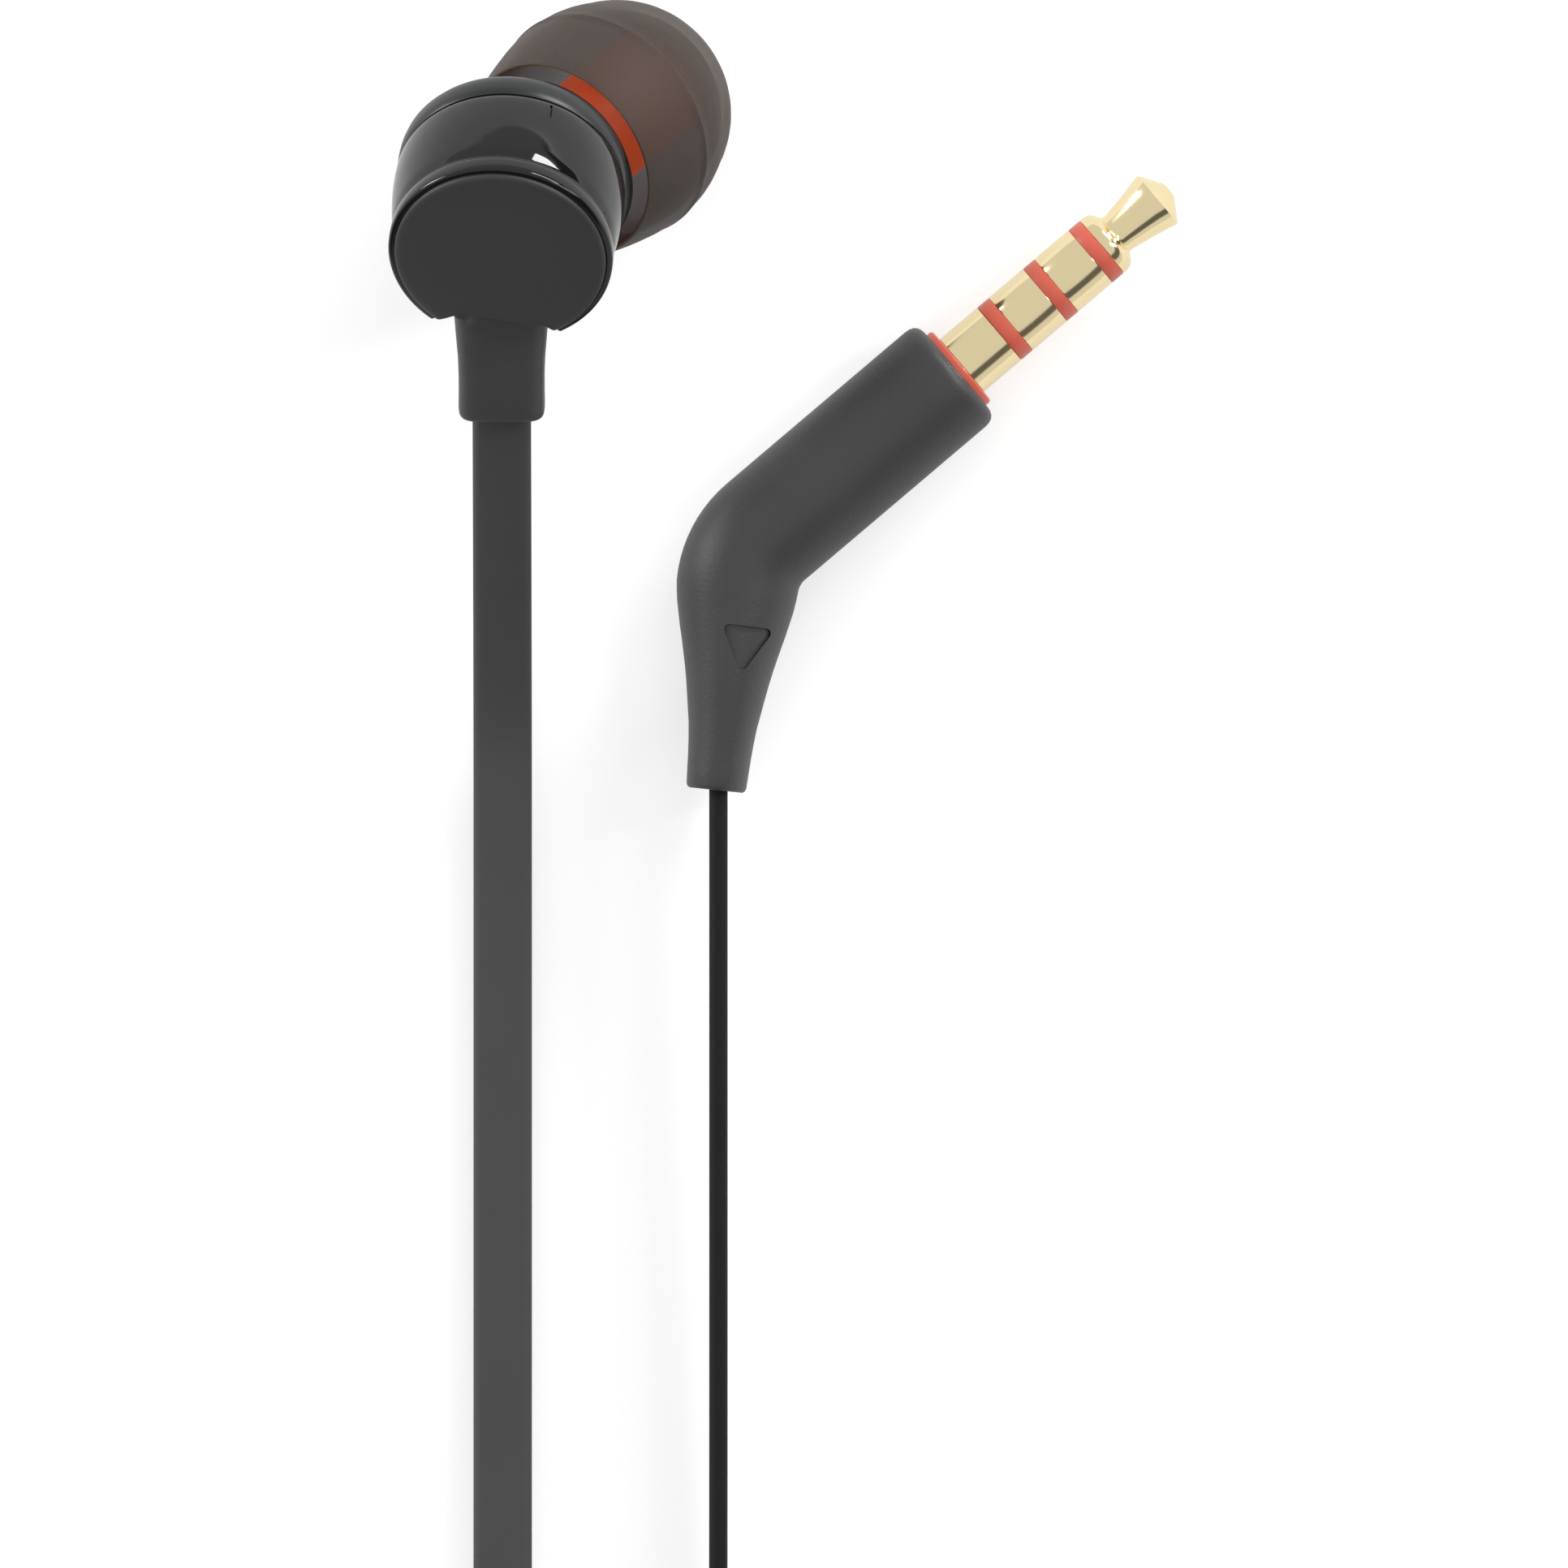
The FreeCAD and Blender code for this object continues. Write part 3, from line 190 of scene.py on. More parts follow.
materials = {
    "cap": makeGrained("matte cap plastic", (0.026, 0.026, 0.0265), (0.03, 0.03, 0.0305), 0.5, 9000, 0.008),
    "housing": makePolished("polished black housing", (0.0035, 0.0035, 0.004), 0.03, 0.08),
    "satin": makeGrained("satin black plastic", (0.007, 0.008, 0.009), (0.010, 0.011, 0.012), 0.34, 9000, 0.004),
    "relief": makeGrained("grained relief rubber", (0.036, 0.036, 0.037), (0.046, 0.046, 0.047), 0.46, 5500, 0.035),
    "cord": makeGrained("flat cord jacket", (0.042, 0.042, 0.043), (0.05, 0.05, 0.051), 0.6, 8000, 0.01),
    # The plug cord is the same flat cord, drawn far darker: painted shade for its side seen edge on
    "mainCordPaintedShade": makeGrained("plug cord jacket in painted shade", (0.006, 0.006, 0.006), (0.009, 0.009, 0.009), 0.5, 8000, 0.008, 0.2),
    "tie": makeGrained("tie vinyl", (0.02, 0.02, 0.021), (0.027, 0.027, 0.028), 0.38, 2400, 0.01),
    "board": makePolished("solder mask", (0.02, 0.14, 0.05), 0.3, 0.45),
    "film": makePolished("diaphragm film", (0.5, 0.36, 0.14), 0.25, 0.4),
    "switch": makeGrained("switch plastic", (0.03, 0.03, 0.03), (0.04, 0.04, 0.04), 0.45, 3600, 0.008),
    "core": makeGrained("natural plastic", (0.62, 0.6, 0.55), (0.7, 0.68, 0.62), 0.4, 3000, 0.005),
    "insulator": makePolished("orange insulator", (0.66, 0.115, 0.07), 0.3, 0.42),
    "gold": makePolished("pale gold plate", (0.95, 0.8, 0.48), 0.1, 0.16, metallic=1.0),
    "nickel": makePolished("nickel plate", (0.7, 0.7, 0.72), 0.14, 0.24, metallic=1.0),
    "steel": makePolished("stamped steel", (0.55, 0.55, 0.57), 0.25, 0.4, metallic=1.0),
    "copper": makePolished("enamelled copper", (0.75, 0.36, 0.18), 0.2, 0.32, metallic=1.0),
}


# Smoky silicone, thin enough to let the coloured core show through
def makeTipMaterial():
    material, tree, shader = newMaterial("smoky silicone", Specular_IOR_Level=0.25)
    grain = useGroup(tree, grainGroup, Scale=3000.0, Patch_Scale=180.0)
    mixedColour(tree, shader, grain.outputs["Patch"], (0.06, 0.047, 0.04), (0.068, 0.054, 0.046))
    spreadRoughness(tree, shader, grain.outputs["Patch"], 0.5, 0.58)
    facing = addNode(tree, "ShaderNodeLayerWeight", Blend=0.5)
    veil = addNode(tree, "ShaderNodeMapRange")  # clearer where it is looked at squarely
    veil.inputs["To Min"].default_value = 0.6
    veil.inputs["To Max"].default_value = 0.98
    tree.links.new(facing.outputs["Facing"], veil.inputs["Value"])
    tree.links.new(veil.outputs["Result"], shader.inputs["Alpha"])
    return material


# The same silicone in a lighter tan: a painted highlight where the rim's thickness catches the light
def makeRimHighlightMaterial():  # the cut edge of the skirt, where the silicone looks lighter
    material, tree, shader = newMaterial("silicone rim with painted highlight")
    grain = useGroup(tree, grainGroup, Scale=9000.0, Patch_Scale=180.0)
    mixedColour(tree, shader, grain.outputs["Patch"], (0.17, 0.125, 0.075), (0.2, 0.15, 0.095))
    spreadRoughness(tree, shader, grain.outputs["Patch"], 0.4, 0.5)
    bumped(tree, shader, grain.outputs["Height"], 0.001 * mm, 0.3)
    return material


# The orange core glows: painted light, standing in for the light let through the smoky dome onto it
def makeGlowingCoreMaterial():
    material, tree, shader = newMaterial("orange core silicone with painted glow", Emission_Color=(0.8, 0.1, 0.025, 1),
                                         Emission_Strength=0.28)
    grain = useGroup(tree, grainGroup, Scale=2200.0, Patch_Scale=180.0)
    mixedColour(tree, shader, grain.outputs["Patch"], (0.5, 0.055, 0.018), (0.58, 0.075, 0.026))
    spreadRoughness(tree, shader, grain.outputs["Patch"], 0.36, 0.46)
    bumped(tree, shader, grain.outputs["Height"], 0.004 * mm, 0.5)
    return material


materials["tip"] = makeTipMaterial()
materials["tipRim"] = makeRimHighlightMaterial()
materials["tipCoreGlow"] = makeGlowingCoreMaterial()
print("materials made")


# Mesh helpers
def newPiece(name, shape, matrix, material, body, replaced=(), sharp=38):
    bmesh.ops.recalc_face_normals(shape, faces=shape.faces)
    bmesh.ops.transform(shape, matrix=matrix, verts=shape.verts)
    if matrix.determinant() < 0:
        bmesh.ops.reverse_faces(shape, faces=shape.faces)
    mesh = bpy.data.meshes.new(name)
    shape.to_mesh(mesh)
    shape.free()
    mesh.shade_smooth()
    mesh.set_sharp_from_angle(angle=radians(sharp))
    mesh.materials.append(materials[material])
    piece = bpy.data.objects.new(name, mesh)
    bpy.context.scene.collection.objects.link(piece)
    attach(piece, body)
    if replaced:
        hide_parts(*replaced)
    return piece


# A turned form, from its outline of (radius, height) in mm; the outline closes on itself
def turnedForm(outline, steps=128):
    shape = bmesh.new()
    corners = [shape.verts.new((radius, 0, height)) for radius, height in outline]
    sides = [shape.edges.new((corners[k - 1], corners[k])) for k in range(len(corners))]
    bmesh.ops.spin(shape, geom=corners + sides, cent=(0, 0, 0), axis=(0, 0, 1), angle=2 * pi,
                   steps=steps, use_merge=True)
    bmesh.ops.remove_doubles(shape, verts=shape.verts, dist=1e-5)
    lines = [edge for edge in shape.edges if not edge.link_faces]
    bmesh.ops.delete(shape, geom=lines, context="EDGES")
    return shape


# Soften every edge sharper than an angle
def softened(shape, width, angle=30, segments=3):
    edges = [edge for edge in shape.edges if edge.is_manifold and edge.calc_face_angle(0) > radians(angle)]
    bmesh.ops.bevel(shape, geom=edges, offset=width, offset_type="OFFSET", affect="EDGES",
                    segments=segments, profile=0.5, material=-1, clamp_overlap=True)
    return shape


# A form bridged through closed loops; each loop is a function of the angle and a matrix for its place
def bridgedForm(loops, count=64):
    shape = bmesh.new()
    rims = []
    for outline, place in loops:
        ring = bmesh.ops.create_circle(shape, cap_ends=False, segments=count, radius=1.0)["verts"]
        for vert in ring:
            angle = atan2(vert.co.y, vert.co.x)
            vert.co = place @ Vector((*outline(angle), 0))
        rims.append(ring)
    for k in range(len(rims) - 1):
        inRims = set(rims[k]) | set(rims[k + 1])
        edges = [edge for edge in shape.edges
                 if set(edge.verts) <= inRims and not edge.link_faces]
        if k:
            edges += [edge for edge in shape.edges
                      if set(edge.verts) <= set(rims[k]) and len(edge.link_faces) == 1 and edge not in edges]
        bmesh.ops.bridge_loops(shape, edges=edges)
    for rim in (rims[0], rims[-1]):
        bmesh.ops.contextual_create(shape, geom=[edge for edge in shape.edges if set(edge.verts) <= set(rim)])
    return shape


# Cut one form out of another, as the Boolean modifier does
def carved(shape, tool):
    pieces = []
    for form in (shape, tool):
        bmesh.ops.recalc_face_normals(form, faces=form.faces)
        mesh = bpy.data.meshes.new("carving")
        form.to_mesh(mesh)
        form.free()
        pieces.append(bpy.data.objects.new("carving", mesh))
        bpy.context.scene.collection.objects.link(pieces[-1])
    cut = pieces[0].modifiers.new("cut", "BOOLEAN")
    cut.operation = "DIFFERENCE"
    cut.solver = "EXACT"
    cut.object = pieces[1]
    bpy.context.view_layer.update()
    done = bpy.data.meshes.new_from_object(pieces[0].evaluated_get(bpy.context.evaluated_depsgraph_get()))
    result = bmesh.new()
    result.from_mesh(done)
    for piece in pieces:
        bpy.data.objects.remove(piece)
    return result


def prism(corners, low, high, rounding=0.0):
    shape = bmesh.new()
    face = shape.faces.new([shape.verts.new((x, y, low)) for x, y in corners])
    grown = bmesh.ops.extrude_face_region(shape, geom=[face])["geom"]
    bmesh.ops.translate(shape, vec=(0, 0, high - low), verts=[v for v in grown if isinstance(v, bmesh.types.BMVert)])
    if rounding:
        upright = [e for e in shape.edges if abs(e.verts[0].co.z - e.verts[1].co.z) > (high - low) / 2]
        bmesh.ops.bevel(shape, geom=upright, offset=rounding, offset_type="OFFSET", affect="EDGES",
                        segments=5, profile=0.5, material=-1)
    return shape


def blended(first, *others):  # several forms in one mesh
    for form in others:
        mesh = bpy.data.meshes.new("part")
        form.to_mesh(mesh)
        first.from_mesh(mesh)
        form.free()
    return first


def roundedOutline(width, thick, power=4.0):  # a rectangle with soft corners
    def outline(angle):
        c, s = cos(angle), sin(angle)
        reach = (abs(c) ** power + abs(s) ** power) ** (-1 / power)
        return width / 2 * c * reach, thick / 2 * s * reach
    return outline


def roundedBox(width, length, height, corner, edge, base=0.0):
    shape = bmesh.new()
    bmesh.ops.create_cube(shape, size=1.0)
    bmesh.ops.scale(shape, vec=(width, length, height), verts=shape.verts)
    bmesh.ops.translate(shape, vec=(0, 0, base + height / 2), verts=shape.verts)
    upright = [e for e in shape.edges if abs(e.verts[0].co.z - e.verts[1].co.z) > height / 2]
    bmesh.ops.bevel(shape, geom=upright, offset=corner, offset_type="OFFSET", affect="EDGES",
                    segments=8, profile=0.5, material=-1)
    if edge:
        softened(shape, edge, 50, 4)
    return shape


def placed(place):  # a placement in mm about the picture's middle, as a matrix in the model
    return Matrix.Scale(mm, 4) @ Matrix.Translation(photoMiddle) @ place


def axes(x, y, z, at):
    return Matrix((
        (x[0], y[0], z[0], at[0]),
        (x[1], y[1], z[1], at[1]),
        (x[2], y[2], z[2], at[2]),
        (0, 0, 0, 1),
    ))


# The flat cord and its wound lengths
flatCord = {"width": 3.0, "thick": 0.95, "edge": 0.42, "turnPitch": 1.4, "layerPitch": 3.45,
            "dip": 1.0, "pointsPerTurn": 24, "overrun": 1.0086}
coils = {
    "main": {"centre": (14.12, -61.3), "outer": 17.5, "start": 180.0, "turns": 6.25, "low": 2.1},
    "left": {"centre": (3.68, -102.0), "outer": 18.1, "start": 180.0, "turns": 2.25, "low": 2.1},
    "right": {"centre": (3.68, -102.0), "outer": 17.0, "start": 131.0, "turns": 3.0 + 139 / 360, "low": 9.0},
}


# A wound coil: in on the lower layer, a climb at the middle, and out on the upper one
def coilRoute(kind):
    coil = coils[kind]
    pitch = flatCord["turnPitch"] / (2 * pi)
    whole = coil["turns"] * 2 * pi
    middle = whole / 2
    ease = pi / 2
    count = round(coil["turns"] * flatCord["pointsPerTurn"])
    route = []
    for k in range(count + 1):
        swept = whole * k / count
        off = swept - middle
        if abs(off) >= ease:
            radius = coil["outer"] - pitch * (middle - abs(off))
        else:
            radius = coil["outer"] - pitch * (middle - ease) - pitch * (ease * ease - off * off) / (2 * ease)
        if abs(off) < pi:
            radius -= flatCord["dip"] * cos(off / 2) ** 2
        share = min(max((off + ease) / (2 * ease), 0.0), 1.0)
        height = coil["low"] + flatCord["layerPitch"] * (1 - cos(pi * share)) / 2
        angle = radians(coil["start"]) + swept
        radius *= flatCord["overrun"]  # the spline runs a little inside its points
        route.append((coil["centre"][0] + radius * cos(angle), coil["centre"][1] + radius * sin(angle), height))
    return route


def makeCordProfile():
    data = bpy.data.curves.new("cord section", "CURVE")
    data.dimensions = "2D"
    spline = data.splines.new("POLY")
    halfWide, halfThick, edge = flatCord["width"] / 2, flatCord["thick"] / 2, flatCord["edge"]
    corners = []
    for cx, cy, turn in ((1, 1, 0), (-1, 1, 90), (-1, -1, 180), (1, -1, 270)):
        for step in (0, 30, 60, 90):
            angle = radians(turn + step)
            corners.append((cx * (halfWide - edge) + edge * cos(angle), cy * (halfThick - edge) + edge * sin(angle)))
    spline.points.add(len(corners) - 1)
    for point, (x, y) in zip(spline.points, corners):
        point.co = (x * mm, y * mm, 0, 1)
    spline.use_cyclic_u = True
    profile = bpy.data.objects.new("cord section", data)
    bpy.context.scene.collection.objects.link(profile)
    return profile


cordProfile = makeCordProfile()


# route is a list of (x, y, z) in mm, rolls one angle per point: 0 lies flat and 90 stands on edge
def makeCord(name, route, rolls, steps, nodes, material="cord"):
    data = bpy.data.curves.new(name, "CURVE")
    data.dimensions = "3D"
    data.twist_mode = "Z_UP"
    spline = data.splines.new("NURBS")
    spline.points.add(len(route) - 1)
    for point, place, roll in zip(spline.points, route, rolls):
        point.co = (*spot(*place), 1)
        point.tilt = radians(roll)
    spline.order_u = 3
    spline.use_endpoint_u = True
    spline.resolution_u = steps
    curve = bpy.data.objects.new(name + " line", data)
    bpy.context.scene.collection.objects.link(curve)
    bpy.context.view_layer.update()
    line = bpy.data.meshes.new_from_object(curve)
    data.bevel_mode = "OBJECT"
    data.bevel_object = cordProfile
    data.use_fill_caps = True
    bpy.context.view_layer.update()
    mesh = bpy.data.meshes.new_from_object(curve.evaluated_get(bpy.context.evaluated_depsgraph_get()))
    shape = bmesh.new()
    shape.from_mesh(mesh)
    bmesh.ops.remove_doubles(shape, verts=shape.verts, dist=1e-6)
    piece = newPiece(name, shape, Matrix.Identity(4), material, "earphones", nodes, 50)
    bpy.data.objects.remove(curve)


leftUpperRoute = [(-14.42, 19.2, 9.7), (-14.42, 8.0, 3.234), (-14.42, -3.0, 0.6), (-14.42, -46.0, 1.6)]
leftLowerRoute = [(-14.42, -74.0, 1.6), (-14.42, -83.0, 1.75), (-14.457, -99.0, 2.1)]
leftTailRoute = [(6.68, -120.14, 5.55), (23.1, -120.14, 5.8), (29.2, -116.3, 6.0), (32.7, -109.9, 6.2),
                 (32.7, -103.9, 6.25)]
rightUpperRoute = [(6.112, -77.361, 9.7), (2.942, -80.117, 7.275), (-0.982, -83.528, 7.7), (-5.235, -87.172, 9.0)]
rightTailRoute = [(6.68, -119.04, 12.45), (23.1, -119.04, 10.8), (29.2, -115.7, 10.1), (32.7, -109.7, 9.8),
                  (32.7, -103.9, 9.75)]
mainTailRoute = [(32.7, -94.4, 8.0), (32.7, -88.4, 7.7), (29.2, -82.3, 7.0), (23.1, -78.84, 6.2),
                 (17.12, -78.84, 5.55)]
mainUpperRoute = [(-3.418, -58.3, 2.1), (-3.36, -42.0, 2.2), (-3.36, -12.0, 2.9), (-3.36, -0.02, 3.2)]


def buildCords():
    wound = {kind: coilRoute(kind) for kind in coils}
    makeCord("leftCordUpper", leftUpperRoute, [0] * 4, 16,
             ["left_cord_upper"])
    route = leftLowerRoute + wound["left"] + leftTailRoute
    rolls = [0, 25, 80] + [90] * (len(route) - 3)
    makeCord("leftCordLower", route, rolls, 4,
             ["left_cord_lower", "left_cord_coil", "left_cord_tail"])
    route = rightUpperRoute + wound["right"] + rightTailRoute
    rolls = [0, 20, 55, 85] + [90] * (len(route) - 4)
    makeCord("rightCord", route, rolls, 4,
             ["right_cord_upper", "right_cord_coil", "right_cord_tail"])
    route = mainTailRoute + wound["main"][::-1] + mainUpperRoute
    # The main cord takes the darker jacket, which is painted shade
    makeCord("mainCordPaintedShade", route, [90] * len(route), 4,
             ["main_cord_upper", "main_coil", "main_cord_tail"], "mainCordPaintedShade")


# One earbud; the right one is the left one's mirror image
bud = {"capRadius": 5.42, "flangeRadius": 5.74, "waistRadius": 5.55, "drumRadius": 5.86, "seam": 6.25,
       "notchHeight": 3.97, "notchInner": 2.2, "notchOuter": 3.06, "notchOffset": 0.55, "tipStandoff": 2.38,
       "reliefSlope": 30.0, "tickAngle": -75.0}


def budFrames(hand, stand):
    axis = Vector((hand * 0.09, 0.644, -0.76)).normalized()
    across = Vector((0.9903, hand * -0.1384, 0)).normalized()
    drum = stand @ axes(across, axis.cross(across), axis, (hand * -0.06, 7.48, 8.88))
    lean = Vector((hand * 0.470, 0.079, 0.879)).normalized()
    turn = Vector((0, 0, 1)).rotation_difference(lean).to_matrix().to_4x4()
    nozzle = drum @ Matrix.Translation((hand * 1.16, 1.32, 8.27)) @ turn
    return drum, nozzle, nozzle @ Matrix.Translation((0, 0, bud["tipStandoff"]))


def notchForm(hand, depth):  # the notch above the strain relief, from outside the cap down to a depth
    inner, outer, low = bud["notchInner"], bud["notchOuter"], bud["notchHeight"]
    rise = (bud["capRadius"] ** 2 - outer ** 2) ** 0.5 - low
    wide = inner + 2.5 * (outer - inner)
    corners = [(-inner, low), (inner, low), (wide, low + 2.5 * rise), (wide, 9), (-wide, 9),
               (-wide, low + 2.5 * rise)]
    return prism([(x + hand * bud["notchOffset"], y) for x, y in corners], -1, depth)


def buildBud(side, hand, stand):
    drum, nozzle, tip = budFrames(hand, stand)
    body = "earphones"

    # Matte cap, with a notch in its rim above the strain relief
    r = bud["capRadius"]
    cap = turnedForm([(0, 0.0), (3.0, 0.01), (r - 0.5, 0.03), (r - 0.24, 0.06), (r - 0.12, 0.1), (r - 0.04, 0.16),
                      (r, 0.25), (r, 0.95), (0, 0.95)])
    newPiece(side + "CapDisc", carved(cap, notchForm(hand, 2.5)), placed(drum), "cap", body,
             [side + "_back_cap"])

    # Glossy rear shell: a lip round the cap, a groove, and the wall out to the seam
    f, w, d, seam = bud["flangeRadius"], bud["waistRadius"], bud["drumRadius"], bud["seam"]
    rear = turnedForm([(0, 0.97), (r + 0.03, 0.97), (r + 0.03, 0.36), (r + 0.06, 0.33), (f - 0.12, 0.33),
                       (f - 0.04, 0.37), (f, 0.46), (f + 0.01, 0.8), (f, 1.12), (f - 0.03, 1.25), (f - 0.08, 1.35),
                       (w + 0.03, 1.45), (w, 1.52), (w, 1.6), (w + 0.03, 1.7), (w + 0.12, 2.0), (w + 0.17, 2.25),
                       (d - 0.11, 2.5), (d - 0.06, 2.9), (d, 3.5), (d + 0.04, 4.1), (d + 0.06, 4.7), (d + 0.05, 5.4),
                       (d + 0.02, 5.85), (d - 0.03, 6.12), (d - 0.09, seam - 0.02), (5.2, seam - 0.02), (5.16, 4.0),
                       (4.87, 2.6), (4.85, 2.0), (4.45, 1.65), (0, 1.6)], 160)
    tick = roundedBox(0.4, 0.13, 1.0, 0.05, 0, 4.95)
    bmesh.ops.translate(tick, vec=(d + 0.12, 0, 0), verts=tick.verts)
    bmesh.ops.rotate(tick, cent=(0, 0, 0), matrix=Matrix.Rotation(radians(bud["tickAngle"] if hand > 0 else
                     -180 - bud["tickAngle"]), 3, "Z"), verts=tick.verts)
    rear = carved(carved(rear, notchForm(hand, 1.4)), tick)
    newPiece(side + "RearHousing", rear, placed(drum), "housing", body, [side + "_rear_shell"], 45)

    # Satin front shell, with the angled nozzle on its wide root
    front = turnedForm([(0, 8.86), (1.6, 8.82), (3.1, 8.72), (4.2, 8.55), (4.9, 8.36), (5.3, 8.18), (5.58, 7.94),
                        (5.76, 7.62), (5.85, 7.2), (5.87, 6.8), (5.85, seam + 0.2), (5.78, seam + 0.06),
                        (5.2, seam + 0.02), (5.1, 7.2), (4.6, 7.7), (0, 7.8)], 160)
    stem = turnedForm([(0, -0.6), (4.85, -0.6), (4.85, 0.1), (4.85, 0.6), (4.84, 1.1), (4.81, 1.5), (4.76, 1.78),
                       (4.68, 1.98), (4.54, 2.14), (4.34, 2.25), (3.9, 2.33), (2.3, 2.36), (2.3, 6.6), (2.36, 6.7),
                       (2.5, 6.95), (2.55, 7.1), (2.5, 7.3), (2.25, 7.8), (2.15, 7.95), (2.0, 8.0), (1.7, 8.0),
                       (1.6, 7.9), (1.6, 7.55), (0, 7.55)], 120)
    bmesh.ops.transform(stem, matrix=drum.inverted() @ nozzle, verts=stem.verts)
    below = roundedBox(20, 20, 6, 1, 0, seam - 5.7)
    newPiece(side + "FrontHousing", blended(front, carved(stem, below)), placed(drum), "satin", body,
             [side + "_front_shell"], 45)

    # Silicone ear tip over its coloured core
    dome = [(5.46, 0.0), (5.62, 0.55), (5.78, 1.25), (5.94, 2.1), (6.07, 2.9), (6.15, 3.6), (6.17, 4.0),
            (6.24, 4.14), (6.24, 4.22), (6.17, 4.34), (6.15, 4.85), (6.08, 5.45), (5.96, 6.0), (5.79, 6.55)]
    dome += [(5.85 * cos(radians(a)), 5.4 + 5.85 * sin(radians(a))) for a in (15, 20, 25, 30, 35, 40, 45, 49)]
    dome += [(3.55, 9.87), (3.1, 9.9), (3.0, 9.86), (3.0, 9.1), (3.25, 9.02)]
    dome += [(5.45 * cos(radians(a)), 5.2 + 5.45 * sin(radians(a))) for a in (46, 38, 30, 22, 14)]
    dome += [(5.7, 5.4), (5.78, 4.4), (5.72, 3.4), (5.56, 2.2), (5.4, 1.0), (5.26, 0.12), (5.34, 0.0)]
    domeForm = turnedForm(dome, 144)
    # Faces at the skirt's rim take the lighter material, a painted highlight along the rim
    for face in domeForm.faces:
        face.material_index = 1 if max(vert.co.z for vert in face.verts) < 0.2 else 0
    domePiece = newPiece(side + "TipDome", domeForm, placed(tip), "tip", side + " ear tip",
                         [side + "_ear_tip"], 60)
    domePiece.data.materials.append(materials["tipRim"])
    # The core's glow is painted light, for the light that reaches it through the dome
    core = turnedForm([(2.4, 0.3), (2.95, 0.3), (3.0, 0.36), (3.0, 9.7), (2.94, 9.78), (2.6, 9.78), (2.3, 9.55),
                       (2.05, 9.1), (2.0, 8.9), (2.0, 6.0), (2.65, 5.95), (2.65, 3.85), (2.4, 3.45)], 96)
    newPiece(side + "TipCore", core, placed(tip), "tipCoreGlow", side + " ear tip",
             [side + "_tip_core"], 40)

    # Strain relief with a slight waist, from the cord's exit into the housing
    tilt = Matrix.Rotation(radians(bud["reliefSlope"] - 90), 4, "X")
    stations = [(0.0, 4.02, 2.9, 0), (0.05, 4.24, 3.12, 0), (0.14, 4.36, 3.23, 0), (0.35, 4.42, 3.3, 0),
                (1.0, 4.4, 3.28, 0), (2.2, 4.4, 3.3, 0), (3.4, 4.48, 3.4, 0), (4.6, 4.66, 3.6, 0),
                (5.6, 4.8, 3.74, 0), (6.2, 4.85, 3.8, 0), (6.25, 4.85, 1.3, -1.25), (8.0, 4.85, 1.3, -1.25)]
    loops = [(roundedOutline(width, thick, 4.5), Matrix.Translation((0, shift, run)))
             for run, width, thick, shift in stations]
    newPiece(side + "StrainRelief", bridgedForm(loops, 72), placed(stand @ tilt), "relief", body,
             [side + "_strain_relief"], 50)
    print(side, "earbud built")


leftStand = Matrix.Translation((-14.42, 19.2, 9.7))
rightStand = Matrix.Translation((6.1118, -77.3609, 9.7)) @ Matrix.Rotation(atan2(-0.7547, 0.6561), 4, "Z")
buildBud("left", 1, leftStand)
buildBud("right", -1, rightStand)

# The plug and its angled boot
plug = {"face": (8.83, 21.20, 3.2), "heading": 40.3, "radius": 1.75, "core": 1.2, "sleeveEnd": 2.9,
        "band": 0.75, "contact": 2.3, "straight": 12.79, "bendRadius": 4.2, "bend": 43.7,
        "mark": [(-3.2, 8.25), (-0.45, 7.9), (-2.2, 5.6)], "markDepth": 0.14, "markCorner": 0.5}


def plugFrame():
    heading = radians(plug["heading"])
    axis = Vector((cos(heading), sin(heading), 0))
    side = Vector((0, 0, 1)).cross(axis)
    return axes(Vector((0, 0, 1)), side * -1, axis, plug["face"]), axis


def ringForm(start, end, soft):
    outer, inner = plug["radius"], plug["core"]
    return turnedForm([(inner, start), (outer - soft, start), (outer - soft * 0.3, start + soft * 0.3),
                       (outer, start + soft), (outer, end - soft), (outer - soft * 0.3, end - soft * 0.3),
                       (outer - soft, end), (inner, end)], 96)


